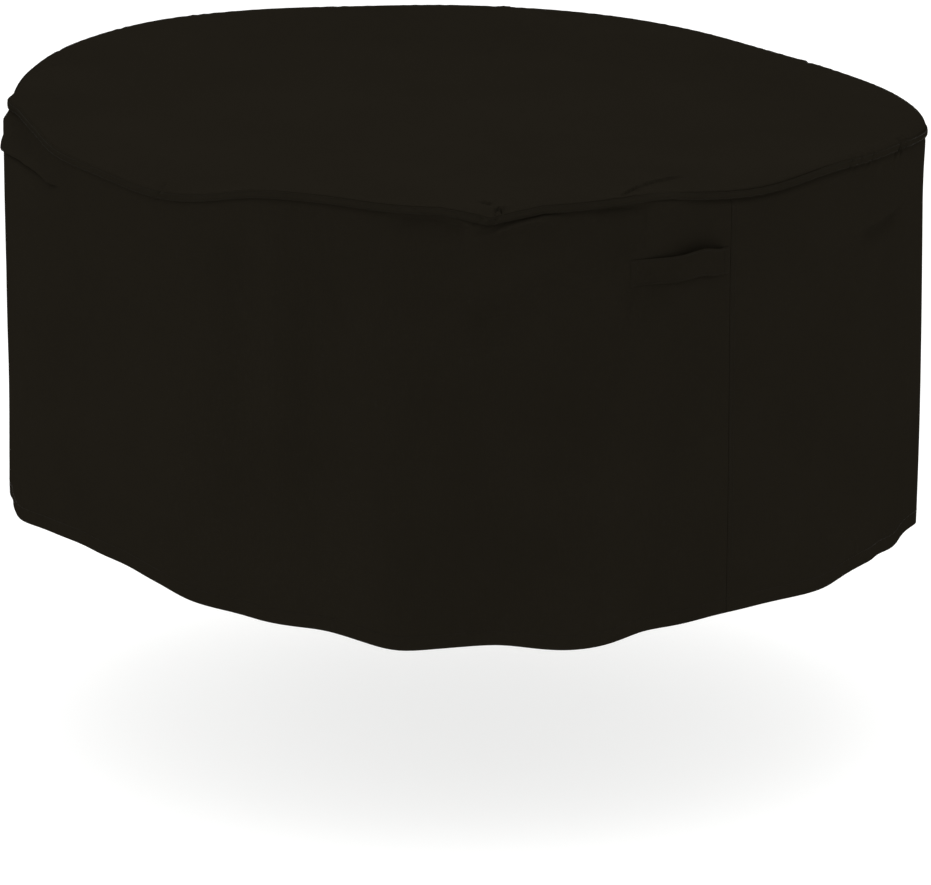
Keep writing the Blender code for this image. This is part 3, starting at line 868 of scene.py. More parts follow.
def tape_point(bearing, angle):
    """Points of the binding tape, a rounded flat bar carried round the edge seam.

    With s and c the sine and cosine of the angle round the section, which is 0 at the top and
    grows outwards, the section is sign(s) |s|^(2/n) half thicknesses out and sign(c) |c|^(2/n)
    half heights up. Its outer side is dented along both rows of stitches and puffs out between
    them. Its upper edge is pushed up by its seat and its lower edge leans out, both evenly less
    towards the other edge, its back reaches further in where its seat is high, and the whole
    section turns about the seam where the tape is tipped.
    """
    power = 2.0 / TAPE_ROUNDNESS
    sine = np.sin(angle)
    cosine = np.cos(angle)
    up = TAPE_UP + TAPE_HALF_HEIGHT * np.sign(cosine) * np.abs(cosine) ** power
    out = TAPE_HALF_THICKNESS * np.sign(sine) * np.abs(sine) ** power
    outer = ease(sine / 0.5)
    dents = sum(TAPE_DENT * hill((up - row) / TAPE_DENT_REACH) for row in TAPE_STITCH_ROWS)
    between = TAPE_PUFF + TAPE_UNEVEN * puckers(bearing, SEEDS["tape"])
    between = between * hill((up - TAPE_PUFF_UP) / TAPE_PUFF_REACH)
    lower_edge = TAPE_UNEVEN * puckers(bearing, SEEDS["tape edge"])
    lower_edge = lower_edge * hill((up - TAPE_EDGE_UP) / TAPE_EDGE_REACH)
    seat = edge_curve(bearing, "seat") / MM
    out = TAPE_OUT + out + outer * (between + lower_edge - dents)
    out = out - TAPE_BEHIND * seat * ease(-sine / 0.5)
    share_down = (TAPE_UP + TAPE_HALF_HEIGHT - up) / (2.0 * TAPE_HALF_HEIGHT)
    out = out + edge_curve(bearing, "lean") / MM * share_down
    below = -up * MM
    up = up + seat * (1.0 - share_down)
    tip = np.radians(TAPE_TIP) * tape_tip(bearing)
    turned_out = out * np.cos(tip) - up * np.sin(tip)
    turned_up = out * np.sin(tip) + up * np.cos(tip)
    radius = seam_radius(bearing) + pinch_out(bearing, below) + turned_out * MM
    return place(bearing, radius, seam_height(bearing) + pinch_up(bearing, below) + turned_up * MM)


def handle_slack(bearing):
    """How freely the strip hangs: 0 at its sewn ends and 1 right of its middle.

    It is the sine of half a turn times the share of the way to the power of the skew.
    """
    first = HANDLE_START + HANDLE_SEWN
    last = HANDLE_END - HANDLE_SEWN
    share = np.clip((bearing - first) / (last - first), 0.0, 1.0)
    return np.sin(np.pi * share**HANDLE_SKEW)


def handle_point(bearing, down, forward, sizes):
    """Points of the handle strip.

    Down is 0 at its upper edge and 1 at its lower edge, forward is 0 on its back and 1 on its
    front. The strip is tilted, follows the skirt, bows off it more above than below, is pressed
    thin at its sewn ends, and is drawn up by a hill right of its middle.
    """
    slack = handle_slack(bearing)
    rise = HANDLE_RISE * hill((bearing - HANDLE_RISE_BEARING) / HANDLE_RISE_SPREAD)
    height = HANDLE_TOP + HANDLE_TILT * bearing - HANDLE_HEIGHT * down
    height = height + rise * slack * (1.0 - (1.0 - HANDLE_RISE_BELOW) * down)
    on_skirt = skirt_point(bearing, seam_height(bearing) - height, sizes)
    behind = np.hypot(on_skirt[..., 0], on_skirt[..., 1])
    bow = HANDLE_BOW_TOP + (HANDLE_BOW_BOTTOM - HANDLE_BOW_TOP) * down
    uneven = HANDLE_UNEVEN * round_waves(bearing, 60, 150, SEEDS["handle"])
    curl = -HANDLE_CURL * hill((down - 0.5) / HANDLE_CURL_REACH)
    loose = ease(np.minimum(bearing - HANDLE_START, HANDLE_END - bearing) / HANDLE_LOOSE)
    thickness = HANDLE_THICKNESS * (HANDLE_PRESSED + (1.0 - HANDLE_PRESSED) * loose)
    gap = SEWN_GAP * (HANDLE_PRESSED_GAP + (1.0 - HANDLE_PRESSED_GAP) * loose)
    return place(bearing, behind + gap + (bow + uneven + curl) * slack + thickness * forward, height)


# ---------------------------------------------------------------- meshes


def grid_mesh(name, points, uv, closed_round=False, closed_section=False, middle=None, caps=False):
    """Four-sided faces over a grid of points, rows by columns, with UVs in metres of cloth.

    The last column can join the first and the last row the first, and then the UV grid has one
    more column or row. A point in the middle closes the first row, and caps close the first and
    last columns of a closed section.
    """
    rows, columns = points.shape[:2]
    index = np.arange(rows * columns).reshape(rows, columns)
    if closed_round:
        index = np.concatenate((index, index[:, :1]), axis=1)
    if closed_section:
        index = np.concatenate((index, index[:1]), axis=0)
    corners = ((slice(None, -1), slice(None, -1)), (slice(1, None), slice(None, -1)),
               (slice(1, None), slice(1, None)), (slice(None, -1), slice(1, None)))
    faces = np.stack([index[corner] for corner in corners], -1).reshape(-1, 4).tolist()
    corner_uv = np.stack([uv[corner] for corner in corners], -2).reshape(-1, 2)
    flat_points = points.reshape(-1, 3)
    if middle is not None:
        centre = np.full(index.shape[1] - 1, rows * columns)
        faces += np.stack((centre, index[0, :-1], index[0, 1:]), -1).tolist()
        fan = np.stack((np.zeros_like(uv[0, :-1]), uv[0, :-1], uv[0, 1:]), -2).reshape(-1, 2)
        corner_uv = np.concatenate((corner_uv, fan))
        flat_points = np.concatenate((flat_points, [middle]))
    if caps:
        faces.append(index[:-1, 0].tolist())
        faces.append(index[:-1, -1][::-1].tolist())
        corner_uv = np.concatenate((corner_uv, uv[:-1, 0], uv[:-1, -1][::-1]))
    mesh = bpy.data.meshes.new(name)
    mesh.from_pydata(flat_points.tolist(), [], faces)
    layer = mesh.uv_layers.new(name="UVMap")
    layer.data.foreach_set("uv", corner_uv.astype(np.float32).ravel())
    mesh.shade_smooth()
    return mesh


def make_piece(name, mesh, material, node=None, thickness=0.0):
    """Link a piece, give an open sheet its thickness behind its faces, and tell the frame."""
    made = bpy.data.objects.new(name, mesh)
    bpy.context.scene.collection.objects.link(made)
    if thickness:
        shell = made.modifiers.new("Thickness", "SOLIDIFY")
        shell.thickness = thickness
        shell.offset = -1.0
        graph = bpy.context.evaluated_depsgraph_get()
        thick = bpy.data.meshes.new_from_object(made.evaluated_get(graph))
        made.modifiers.clear()
        made.data = thick
        thick.name = name
        bpy.data.meshes.remove(mesh)
    made.data.set_sharp_from_angle(angle=SHARP_ANGLE)
    made.data.materials.clear()
    made.data.materials.append(material)
    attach(made, BODY)
    if node:
        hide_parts(node)
    return made


def column_bearings(first, last, close_bands=EDGE_COLUMN_BANDS):
    """Bearings from first to last: even steps, with closer ones where creases need them."""
    even = np.linspace(first, last, int(round((last - first) / COLUMN_STEP)) + 1)
    found = [even]
    for start, end, step in close_bands:
        for whole_turn in (-360.0, 0.0, 360.0):
            close = np.arange(start, end, step) + whole_turn
            found.append(close[(close > first) & (close < last)])
    merged = np.unique(np.concatenate(found))
    apart = np.diff(merged, prepend=merged[0] - 1.0) > CLOSEST_COLUMNS
    apart[-1] = True
    return merged[apart]


# One stitch: rings of a small spindle, as shares of the stitch's length and of its gauge. Its
# axis stands off the cloth by the rise, less the bow times the square of the share along it,
# both in gauges.
STITCH_SIDES = 6
STITCH_RINGS = ((-0.40, 0.75), (0.0, 1.0), (0.40, 0.75))
STITCH_RISE = 0.30
STITCH_BOW = 2.4


def stitch_mesh(name, centres, forward, outward, sizes):
    """A row of stitches as one mesh, each a closed six-sided spindle that bows over the cloth."""
    forward = unit(forward)
    sideways = unit(np.cross(outward, forward))
    outward = np.cross(forward, sideways)
    angle = np.arange(STITCH_SIDES) * (2.0 * np.pi / STITCH_SIDES)
    local = [(-0.5, 0.0, 0.0)]
    for share, width in STITCH_RINGS:
        local += [(share, width * np.cos(a), width * np.sin(a)) for a in angle]
    local.append((0.5, 0.0, 0.0))
    local = np.array(local)
    along = local[:, 0] * sizes.stitch
    side = local[:, 1] * sizes.thread / 2.0
    bow = STITCH_RISE - STITCH_BOW * local[:, 0] ** 2
    rise = local[:, 2] * sizes.thread / 2.0 + sizes.thread * bow
    points = (
        centres[:, None]
        + forward[:, None] * along[None, :, None]
        + sideways[:, None] * side[None, :, None]
        + outward[:, None] * rise[None, :, None]
    )
    faces = []
    last = len(local) - 1
    for k in range(STITCH_SIDES):
        after = (k + 1) % STITCH_SIDES
        faces.append((0, 1 + after, 1 + k))
        for ring in range(len(STITCH_RINGS) - 1):
            a = 1 + ring * STITCH_SIDES
            b = a + STITCH_SIDES
            faces.append((a + k, a + after, b + after, b + k))
        end = 1 + (len(STITCH_RINGS) - 1) * STITCH_SIDES
        faces.append((last, end + k, end + after))
    starts = np.arange(len(centres)) * len(local)
    all_faces = []
    for face in faces:
        all_faces += (starts[:, None] + np.array(face)[None, :]).tolist()
    mesh = bpy.data.meshes.new(name)
    mesh.from_pydata(points.reshape(-1, 3).tolist(), [], all_faces)
    mesh.shade_smooth()
    return mesh


def along_surface(function, first, last, sizes):
    """Centres, directions and normals of stitches along a straight line of surface parameters.

    The line runs from one parameter pair to another; the stitches are an even pitch apart along
    the curve that the surface makes of it, and the normal is the cross product of small steps.
    """
    first = np.array(first, dtype=float)
    last = np.array(last, dtype=float)
    fine = np.linspace(0.0, 1.0, 4001)[:, None]
    path = function(*(first + (last - first) * fine).T)
    lengths = np.concatenate(((0.0,), np.cumsum(np.linalg.norm(np.diff(path, axis=0), axis=1))))
    count = max(2, int(lengths[-1] / sizes.stitch_pitch))
    share = np.interp((np.arange(count) + 0.5) / count * lengths[-1], lengths, fine[:, 0])[:, None]
    a, b = (first + (last - first) * share).T
    centre = function(a, b)
    small = 1e-4
    step = (last - first) / np.linalg.norm(last - first) * small
    forward = function(a + step[0], b + step[1]) - centre
    down = function(a, b + small) - centre
    turn = function(a + small * 50.0, b) - centre
    return centre, forward, unit(np.cross(down, turn))


# ---------------------------------------------------------------- materials


def fill_inputs(tree, node, inputs):
    """Link a node's inputs, by name or number, to sockets or set them to plain values."""
    for name, value in inputs.items():
        if isinstance(value, bpy.types.NodeSocket):
            tree.links.new(value, node.inputs[name])
        elif value is not None:
            node.inputs[name].default_value = value


def add_node(tree, kind, inputs):
    """A new node with its inputs filled; gives its outputs."""
    node = tree.nodes.new(kind)
    fill_inputs(tree, node, inputs)
    return node.outputs


def maths(tree, operation, *values):
    """A Math node on sockets or plain numbers; gives its output socket."""
    node = tree.nodes.new("ShaderNodeMath")
    node.operation = operation
    fill_inputs(tree, node, dict(enumerate(values)))
    return node.outputs[0]


def noise(tree, coordinates, scale, detail=2.0, roughness=0.5, stretch=(1.0, 1.0, 1.0)):
    """A noise texture on coordinates stretched along each axis; gives its value."""
    stretched = add_node(tree, "ShaderNodeMapping", {"Vector": coordinates, "Scale": stretch})["Vector"]
    inputs = {"Vector": stretched, "Scale": scale, "Detail": detail, "Roughness": roughness}
    return add_node(tree, "ShaderNodeTexNoise", inputs)["Fac"]


def tint(tree, factor, first, second):
    """A colour between two, which are sockets or four values; gives its socket."""
    node = tree.nodes.new("ShaderNodeMix")
    node.data_type = "RGBA"
    fill_inputs(tree, node, {"Factor": factor, "A": first, "B": second})
    return node.outputs["Result"]


def shaded(colour, share):
    """A share of a colour, as a socket takes it."""
    return (*[channel * share for channel in colour], 1.0)


def bump(tree, height, strength, distance, normal=None):
    """A bump from a height, over another normal if there is one; gives its normal."""
    inputs = {"Height": height, "Strength": strength, "Distance": distance, "Normal": normal}
    return add_node(tree, "ShaderNodeBump", inputs)["Normal"]


def new_group(name, inputs, outputs):
    """An empty shader node group; gives it, its given sockets and its result node."""
    group = bpy.data.node_groups.new(name, "ShaderNodeTree")
    for label, (kind, default) in inputs.items():
        socket = group.interface.new_socket(name=label, in_out="INPUT", socket_type=kind)
        if default is not None:
            socket.default_value = default
    for label in outputs:
        group.interface.new_socket(name=label, in_out="OUTPUT", socket_type="NodeSocketFloat")
    return group, group.nodes.new("NodeGroupInput").outputs, group.nodes.new("NodeGroupOutput")


def weave_group(name):
    """Plain weave of round threads, in metres of cloth.

    In each square of the cloth either the upright or the level thread lies on top. Its height
    is half a sine across it times a flatter half sine along it. Threads vary slightly in thickness and
    tone along their length. Their colour also follows their height: lighter on top and darker where
    they lie low, which is painted shade between the threads.
    """
    inputs = {"Cloth": ("NodeSocketVector", None), "Thread": ("NodeSocketFloat", 0.0009)}
    group, given, result = new_group(name, inputs, ("Height", "Tone and painted shade", "Slub"))
    split = add_node(group, "ShaderNodeSeparateXYZ", {"Vector": given["Cloth"]})
    waves = []
    cells = []
    for axis in ("X", "Y"):
        turns = maths(group, "DIVIDE", split[axis], given["Thread"])
        part = maths(group, "FRACT", turns)
        waves.append(maths(group, "SINE", maths(group, "MULTIPLY", part, np.pi)))
        cells.append(maths(group, "FLOOR", turns))
    parity = maths(group, "PINGPONG", maths(group, "ADD", *cells), 1.0)
    warp = maths(group, "MULTIPLY", waves[0], maths(group, "MULTIPLY_ADD", waves[1], 0.5, 0.5))
    weft = maths(group, "MULTIPLY", waves[1], maths(group, "MULTIPLY_ADD", waves[0], 0.5, 0.5))
    kept = maths(group, "MULTIPLY", warp, maths(group, "SUBTRACT", 1.0, parity))
    height = maths(group, "MULTIPLY_ADD", weft, parity, kept)
    level = noise(group, given["Cloth"], 1.0, 3.0, 0.55, (28.0, 420.0, 1.0))
    upright = noise(group, given["Cloth"], 1.0, 3.0, 0.55, (420.0, 22.0, 1.0))
    slub = maths(group, "MULTIPLY", maths(group, "ADD", level, upright), 0.5)
    # colour: painted shade, darker where the threads lie low, plus random tone along each thread
    shade = maths(group, "MULTIPLY_ADD", height, 0.35, maths(group, "MULTIPLY", slub, 0.65))
    fill_inputs(group, result, {"Height": height, "Tone and painted shade": shade, "Slub": slub})
    return group


def mottle_group(name):
    """Broad, soft unevenness of dyed and coated cloth, and faint dust, on object coordinates."""
    inputs = {"Place": ("NodeSocketVector", None), "Size": ("NodeSocketFloat", 0.25)}
    group, given, result = new_group(name, inputs, ("Cloud", "Dust"))
    scaled = group.nodes.new("ShaderNodeVectorMath")
    scaled.operation = "DIVIDE"
    fill_inputs(group, scaled, {0: given["Place"], 1: given["Size"]})
    cloud = noise(group, scaled.outputs["Vector"], 1.0, 4.0, 0.6)
    speck = noise(group, scaled.outputs["Vector"], 60.0, 2.0, 0.6)
    dust = maths(group, "MAXIMUM", maths(group, "SUBTRACT", speck, 0.55), 0.0)
    fill_inputs(group, result, {"Cloud": cloud, "Dust": maths(group, "MULTIPLY", dust, cloud)})
    return group


def shared_group(tree, name, maker, inputs):
    """A node of a group that is built once; gives its outputs."""
    node = tree.nodes.new("ShaderNodeGroup")
    node.node_tree = bpy.data.node_groups.get(name) or maker(name)
    fill_inputs(tree, node, inputs)
    return node.outputs


def new_material(name):
    """A new material; gives it, its node tree and its object coordinates."""
    material = bpy.data.materials.new(name)
    material.use_nodes = True
    return material, material.node_tree, add_node(material.node_tree, "ShaderNodeTexCoord", {})["Object"]


def cloth_material(name, colour, thread, roughness):
    """Coated polyester cloth: a plain weave on the piece's own UVs over a soft, uneven dye, with painted
    shade where the threads lie low.
    """
    material, tree, on_object = new_material(name)
    flat = tree.nodes.new("ShaderNodeUVMap")
    flat.uv_map = "UVMap"
    weave = shared_group(tree, "Woven cloth", weave_group, {"Cloth": flat.outputs["UV"], "Thread": thread})
    mottle = shared_group(tree, "Coated cloth", mottle_group, {"Place": on_object})
    cloud = maths(tree, "MULTIPLY", mottle["Cloud"], 0.35)
    # the colour mixes random tone of the dye and threads with painted shade between the threads
    shade = maths(tree, "MULTIPLY_ADD", weave["Tone and painted shade"], 0.75, cloud)
    dyed = tint(tree, shade, shaded(colour, 0.72), shaded(colour, 1.28))
    dust = maths(tree, "MULTIPLY", mottle["Dust"], 0.30)
    threads = bump(tree, weave["Height"], 0.6, 0.00016)
    fill_inputs(tree, tree.nodes["Principled BSDF"], {
        "Base Color": tint(tree, dust, dyed, DUST_COLOUR),
        "Roughness": maths(tree, "MULTIPLY_ADD", weave["Slub"], -0.14, roughness + 0.07),
        "Specular IOR Level": 0.0,
        "Normal": bump(tree, weave["Slub"], 0.5, 0.0006, threads),
    })
    return material


def thread_material(colour):
    """Twisted polyester thread: slightly glossier than the cloth, with fine uneven twist."""
    material, tree, on_object = new_material("black_thread")
    twist = noise(tree, on_object, 900.0, 2.0, 0.6)
    fill_inputs(tree, tree.nodes["Principled BSDF"], {
        "Base Color": tint(tree, twist, shaded(colour, 0.7), shaded(colour, 1.4)),
        "Roughness": 0.5,
        "Specular IOR Level": 0.05,
        "Normal": bump(tree, twist, 0.4, 0.0002),
    })
    return material


def floor_material(colour, glow):
    """Plain pale floor of a light table: a very faint unevenness, lit from below."""
    material, tree, on_object = new_material("pale_floor")
    cloud = noise(tree, on_object, 1.5, 3.0, 0.5)
    pale = tint(tree, cloud, shaded(colour, 0.985), shaded(colour, 1.0))
    fill_inputs(tree, tree.nodes["Principled BSDF"], {
        "Base Color": pale,
        "Roughness": 0.9,
        "Specular IOR Level": 0.1,
        "Emission Color": pale,
        "Emission Strength": glow,
    })
    return material


# ---------------------------------------------------------------- operators


class COVER_OT_top_panel(bpy.types.Operator):
    """Cut the round top panel and lay it in its soft rises and creases"""

    bl_idname = "furniture_cover.top_panel"
    bl_label = "Top panel"

    def execute(self, context):
        sizes = context.scene.cover_sizes
        colours = context.scene.cover_colours
        bearing = column_bearings(*ALL_ROUND)[None, :-1]
        inset = bands(TOP_BANDS)[::-1, None] * MM
        points = top_point(bearing, inset)
        plan = points[..., :2]
        uv = np.concatenate((plan, plan[:, :1]), axis=1)
        centre = (0.0, 0.0, float(points[0, :, 2].mean()))
        mesh = grid_mesh("top_cloth", points, uv, closed_round=True, middle=centre)
        material = cloth_material("top_polyester", colours.cloth, sizes.weave, 0.72)
        top = make_piece("top_cloth", mesh, material, "top_panel", sizes.cloth)
        return {"FINISHED"}


class COVER_OT_skirt(bpy.types.Operator):
    """Hang the two halves of the skirt, each with its hem turned up inside"""

    bl_idname = "furniture_cover.skirt"
    bl_label = "Skirt"

    def execute(self, context):
        sizes = context.scene.cover_sizes
        colours = context.scene.cover_colours
        material = cloth_material("skirt_polyester", colours.cloth, sizes.weave, 0.72)
        for side, first in (("left", SEAM_BEARING - 180.0), ("right", SEAM_BEARING)):
            name = f"skirt_{side}_cloth"
            mesh = self.half_mesh(name, first, sizes)
            half = make_piece(name, mesh, material, f"skirt_{side}", sizes.cloth)
        return {"FINISHED"}

    def half_mesh(self, name, first, sizes):
        """Half of the skirt as a grid: rows down the outside, round the fold and up inside."""
        bearing = column_bearings(first, first + 180.0, EDGE_COLUMN_BANDS + SKIRT_COLUMN_BANDS)
        bearing = np.concatenate((bearing, (first + 180.0 + 0.5 * LAP, first + 180.0 + LAP)))
        extra = first + np.array((FIRST_COLUMN, TUCK_START, TUCK_END))
        bearing = np.unique(np.append(bearing, extra))
        length = skirt_length(bearing)
        upper = bands(SKIRT_BANDS) * MM
        above_fold = bands(HEM_BANDS) * MM
        middle_rows = int(round((DROP - upper[-1] - above_fold[0]) / SKIRT_STEP))
        share = np.linspace(0.0, 1.0, middle_rows + 1)[1:-1, None]
        middle = upper[-1] + (length - above_fold[0] - upper[-1]) * share
        lower = length - above_fold[:, None]
        outer = np.concatenate((np.repeat(upper[:, None], bearing.size, axis=1), middle, lower))
        fold = sizes.cloth + 0.5 * SEWN_GAP
        angle = np.linspace(0.0, np.pi, HEM_ARC_POINTS + 2)[1:-1, None]
        arc = length - above_fold[-1] + above_fold[-1] * np.sin(angle)
        arc_in = fold * (1.0 - np.cos(angle)) + 0.0 * arc
        inside = length - np.linspace(above_fold[-1], HEM_HEIGHT, HEM_INNER_POINTS)[:, None]
        below = np.concatenate((outer, arc, inside))
        inward = np.concatenate((0.0 * outer, arc_in, 2.0 * fold + 0.0 * inside))
        layers = 1.0 + ease((below - (length - HEM_HEIGHT - TUCK_HEM_ABOVE)) / TUCK_HEM_EASE)
        turn = bearing - first
        depth = layers * (sizes.cloth + SEWN_GAP) + CLEARANCE
        tucked = depth * ease((turn - TUCK_START) / (TUCK_END - TUCK_START))
        points = skirt_point(bearing[None, :] + 0.0 * below, below, sizes, inward + tucked)
        down = np.concatenate((outer, arc + (arc_in > fold) * HEM_FOLD_SHIFT, 2.0 * length - inside))
        uv = np.stack((np.radians(bearing[None, :] + 0.0 * below) * RADIUS, -down), -1)
        return grid_mesh(name, points, uv)


class COVER_OT_binding(bpy.types.Operator):
    """Fold the binding tape round the edge seam"""

    bl_idname = "furniture_cover.binding"
    bl_label = "Binding"

    def execute(self, context):
        sizes = context.scene.cover_sizes
        colours = context.scene.cover_colours
        bearing = column_bearings(*ALL_ROUND)
        angle = np.arange(TAPE_POINTS) * (2.0 * np.pi / TAPE_POINTS)
        points = tape_point(bearing[None, :-1], angle[:, None])
        around = np.radians(bearing)[None, :] * RADIUS
        across = np.linspace(0.0, TAPE_WIDTH, TAPE_POINTS + 1)[:, None]
        uv = np.stack(np.broadcast_arrays(around, across), -1)
        mesh = grid_mesh("binding_tape", points, uv, closed_round=True, closed_section=True)
        material = cloth_material("binding_polyester", colours.tape, sizes.weave * 0.8, 0.66)
        make_piece("binding_tape", mesh, material, "edge_binding")
        return {"FINISHED"}


class COVER_OT_handle(bpy.types.Operator):
    """Sew on the handle: a doubled strip, flat at both ends and bowed between them"""

    bl_idname = "furniture_cover.handle"
    bl_label = "Handle"

    def execute(self, context):
        sizes = context.scene.cover_sizes
        colours = context.scene.cover_colours
        bearing = np.linspace(HANDLE_START, HANDLE_END, HANDLE_COLUMNS)[None, :]
        face = np.linspace(0.0, 1.0, HANDLE_ROWS)
        down = np.concatenate((face, face[::-1]))[:, None]
        front = np.concatenate((np.ones(HANDLE_ROWS), np.zeros(HANDLE_ROWS)))[:, None]
        rounding = np.sqrt(np.clip(1.0 - np.square(2.0 * down - 1.0) ** HANDLE_EDGE_POWER, 0.0, 1.0))
        thick = HANDLE_EDGE_SHARE + (1.0 - HANDLE_EDGE_SHARE) * rounding
        rows = (HANDLE_STITCH_IN, 1.0 - HANDLE_STITCH_IN)
        stitched = sum(hill((down - row) / HANDLE_STITCH_REACH) for row in rows)
        forward = 0.5 + (front - 0.5) * thick * (1.0 - HANDLE_STITCH_DENT * stitched)
        points = handle_point(bearing + 0.0 * down, down + 0.0 * bearing, forward, sizes)
        around = np.radians(bearing) * RADIUS
        drop = np.concatenate((face, 2.0 - face[::-1], (2.0,)))[:, None] * HANDLE_HEIGHT
        uv = np.stack(np.broadcast_arrays(around, drop), -1)
        mesh = grid_mesh("handle_strip", points, uv, closed_section=True, caps=True)
        material = cloth_material("handle_polyester", colours.handle, sizes.weave, 0.70)
        strip = make_piece("handle_strip", mesh, material, "handle")
        return {"FINISHED"}


class COVER_OT_stitches(bpy.types.Operator):
    """Sew the visible rows of stitches on binding, hem, upright seams and handle"""

    bl_idname = "furniture_cover.stitches"
    bl_label = "Stitches"

    def execute(self, context):
        sizes = context.scene.cover_sizes
        thread = thread_material(context.scene.cover_colours.thread)
        for name, slot, lines in (
            ("binding_stitches", "binding_cloth", self.binding_rows(sizes)),
            ("hem_stitches", "cover_cloth", self.hem_rows(sizes)),
            ("seam_stitches", "cover_cloth", self.lap_rows(sizes)),
            ("handle_stitches", "handle_cloth", self.handle_rows(sizes)),
        ):
            centres, forward, outward = (np.concatenate(part) for part in zip(*lines))
            make_piece(name, stitch_mesh(name, centres, forward, outward, sizes), thread)
        return {"FINISHED"}

    def binding_rows(self, sizes):
        """Rows along both edges of the tape, all round."""
        lines = []
        for up in TAPE_STITCH_ROWS:
            ends = [(bearing, self.tape_angle(up)) for bearing in ALL_ROUND]
            lines.append(along_surface(tape_point, *ends, sizes))
        return lines

    def hem_rows(self, sizes):
        """One row along the hem, all round."""
        def hem(bearing, down):
            return skirt_point(bearing, skirt_length(bearing) - HEM_HEIGHT + down, sizes)

        ends = [(bearing, HEM_STITCH_DOWN) for bearing in ALL_ROUND]
        return [along_surface(hem, *ends, sizes)]

    def lap_rows(self, sizes):
        """Two rows down each lap, each in runs."""
        def skirt(bearing, below):
            return skirt_point(bearing, below, sizes)

        lines = []
        for seam in (SEAM_BEARING, SEAM_BEARING + 180.0):
            for turn in LAP_STITCH_TURNS:
                for start, end in LAP_STITCH_RUNS:
                    lines.append(along_surface(skirt, (seam + turn, start), (seam + turn, end), sizes))
        return lines

    def tape_angle(self, up):
        """The angle round the tape's section at which its outer side is this high."""
        share = np.clip((up - TAPE_UP) / TAPE_HALF_HEIGHT, -1.0, 1.0)
        return float(np.arccos(np.sign(share) * np.abs(share) ** (TAPE_ROUNDNESS / 2.0)))

    def handle_rows(self, sizes):
        """Rows along both edges of the strip and a box at each sewn end."""
        def front(bearing, down):
            return handle_point(bearing, down, 1.0 + 0.0 * bearing, sizes)

        left = HANDLE_START + HANDLE_STITCH_END
        right = HANDLE_END - HANDLE_STITCH_END
        lines = []
        for row in (HANDLE_STITCH_IN, 1.0 - HANDLE_STITCH_IN):
            lines.append(along_surface(front, (left, row), (right, row), sizes))
        for end in (left, left + HANDLE_BOX_WIDTH, right - HANDLE_BOX_WIDTH, right):
            lines.append(along_surface(front, (end, HANDLE_BOX_IN), (end, 1.0 - HANDLE_BOX_IN), sizes))
        return lines


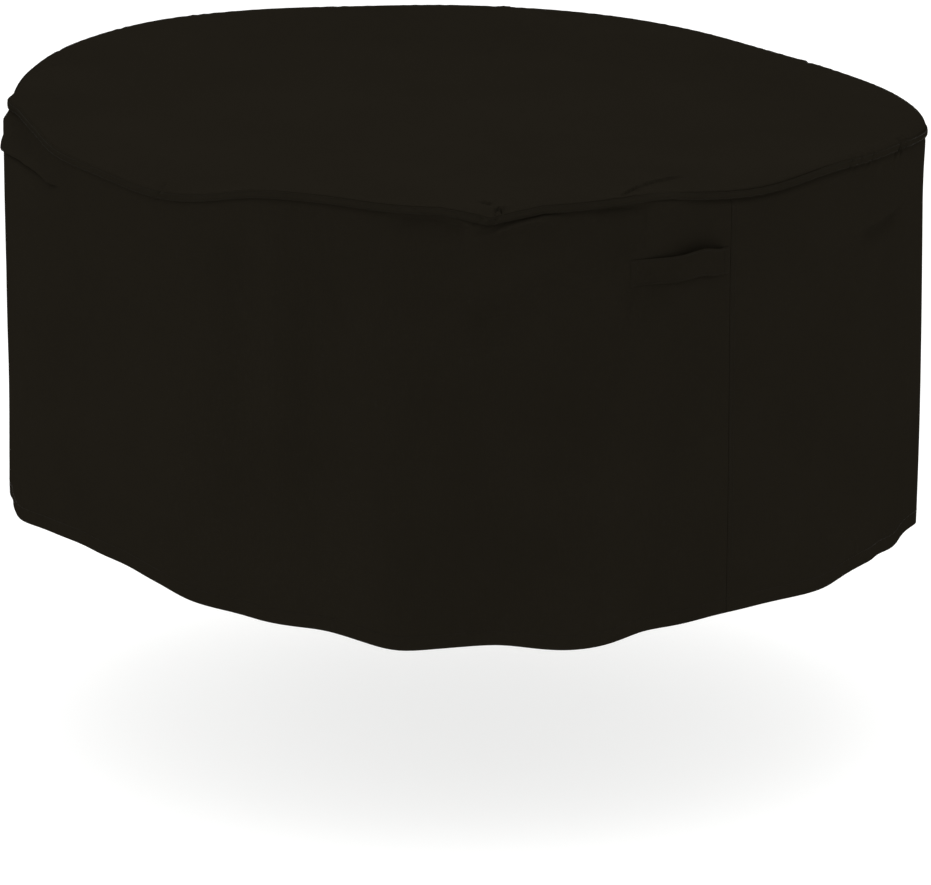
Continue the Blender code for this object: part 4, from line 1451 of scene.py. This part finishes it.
class COVER_OT_stage(bpy.types.Operator):
    """Set up the pale floor, the soft studio light and the camera"""

    bl_idname = "furniture_cover.stage"
    bl_label = "Stage"

    def execute(self, context):
        scene = context.scene
        stage = scene.cover_stage
        colours = scene.cover_colours
        self.add_floor(scene, stage, colours)
        self.add_surround(scene, stage)
        for name, row in SOFTBOXES.items():
            self.add_softbox(scene, name, *row)
        self.add_camera(scene, stage)
        scene.view_settings.view_transform = "Standard"
        return {"FINISHED"}

    def add_floor(self, scene, stage, colours):
        """A level disc: rings of points at growing distances."""
        turn = np.arange(0.0, 360.0, 5.0)[None, :]
        distance = np.array(FLOOR_RINGS)[:, None]
        points = place(turn, distance, stage.floor_height)
        plan = points[..., :2]
        uv = np.concatenate((plan, plan[:, :1]), axis=1)
        centre = (0.0, 0.0, stage.floor_height)
        mesh = grid_mesh("studio_floor", points, uv, closed_round=True, middle=centre)
        mesh.materials.append(floor_material(colours.floor, stage.floor_glow))
        floor = bpy.data.objects.new("studio_floor", mesh)
        scene.collection.objects.link(floor)

    def add_surround(self, scene, stage):
        """Even white light from all round; the surround itself shows plain white."""
        world = bpy.data.worlds.new("studio")
        world.use_nodes = True
        tree = world.node_tree
        light = tree.nodes["Background"]
        fill_inputs(tree, light, {"Color": WHITE, "Strength": stage.surround})
        shown = add_node(tree, "ShaderNodeBackground", {"Color": WHITE, "Strength": 1.0})["Background"]
        seen = add_node(tree, "ShaderNodeLightPath", {})["Is Camera Ray"]
        inputs = {0: seen, 1: light.outputs["Background"], 2: shown}
        mixed = add_node(tree, "ShaderNodeMixShader", inputs)["Shader"]
        tree.links.new(mixed, tree.nodes["World Output"].inputs["Surface"])
        scene.world = world

    def add_softbox(self, scene, name, bearing, distance, height, size, power):
        """An area light at a bearing, turned towards the middle of the cover."""
        data = bpy.data.lights.new(name, "AREA")
        data.shape = "RECTANGLE"
        data.size, data.size_y = size
        data.energy = power
        lamp = bpy.data.objects.new(name, data)
        spot = place(bearing, distance, height)
        lamp.location = spot
        aim = np.array(LIGHT_AIM) - spot
        heading = np.arctan2(aim[0], -aim[1])
        tilt = np.arctan2(np.hypot(aim[0], aim[1]), -aim[2])
        lamp.rotation_euler = (tilt, 0.0, heading + np.pi)
        scene.collection.objects.link(lamp)

    def add_camera(self, scene, stage):
        """A long lens at the bearing and height from which the cover was seen."""
        data = bpy.data.cameras.new("camera")
        data.lens = stage.lens
        data.sensor_width = 36.0
        data.clip_end = 200.0
        camera = bpy.data.objects.new("camera", data)
        bearing = np.degrees(stage.camera_bearing)
        camera.location = place(bearing, stage.camera_distance, stage.camera_height)
        camera.rotation_euler = (np.pi / 2.0 - stage.camera_pitch, 0.0, stage.camera_bearing)
        scene.collection.objects.link(camera)
        scene.camera = camera


class COVER_PT_panel(bpy.types.Panel):
    """Lists the steps in which the cover is made"""

    bl_label = "Round cover"
    bl_idname = "COVER_PT_panel"
    bl_space_type = "VIEW_3D"
    bl_region_type = "UI"
    bl_category = "Cover"

    def draw(self, context):
        layout = self.layout
        for owner in (context.scene.cover_sizes, context.scene.cover_colours, context.scene.cover_stage):
            box = layout.box()
            for name in owner.bl_rna.properties.keys():
                if name not in {"rna_type", "name"}:
                    box.prop(owner, name)
        for operator in OPERATORS:
            layout.operator(operator.bl_idname)


OPERATORS = (
    COVER_OT_top_panel,
    COVER_OT_skirt,
    COVER_OT_binding,
    COVER_OT_handle,
    COVER_OT_stitches,
    COVER_OT_stage,
)
SETTINGS = {"cover_sizes": CoverSizes, "cover_colours": CoverColours, "cover_stage": StageSettings}


def register():
    """Add the settings to the scene, and the operators and the panel to Blender."""
    for group in SETTINGS.values():
        bpy.utils.register_class(group)
    for name, group in SETTINGS.items():
        setattr(bpy.types.Scene, name, bpy.props.PointerProperty(type=group))
    for shown in (*OPERATORS, COVER_PT_panel):
        bpy.utils.register_class(shown)


def unregister():
    """Take away what register adds."""
    for shown in reversed((*OPERATORS, COVER_PT_panel)):
        bpy.utils.unregister_class(shown)
    for name, group in SETTINGS.items():
        delattr(bpy.types.Scene, name)
        bpy.utils.unregister_class(group)


def main():
    register()
    bpy.ops.furniture_cover.top_panel()
    bpy.ops.furniture_cover.skirt()
    bpy.ops.furniture_cover.binding()
    bpy.ops.furniture_cover.handle()
    bpy.ops.furniture_cover.stitches()
    bpy.ops.furniture_cover.stage()


if __name__ == "__main__":
    main()
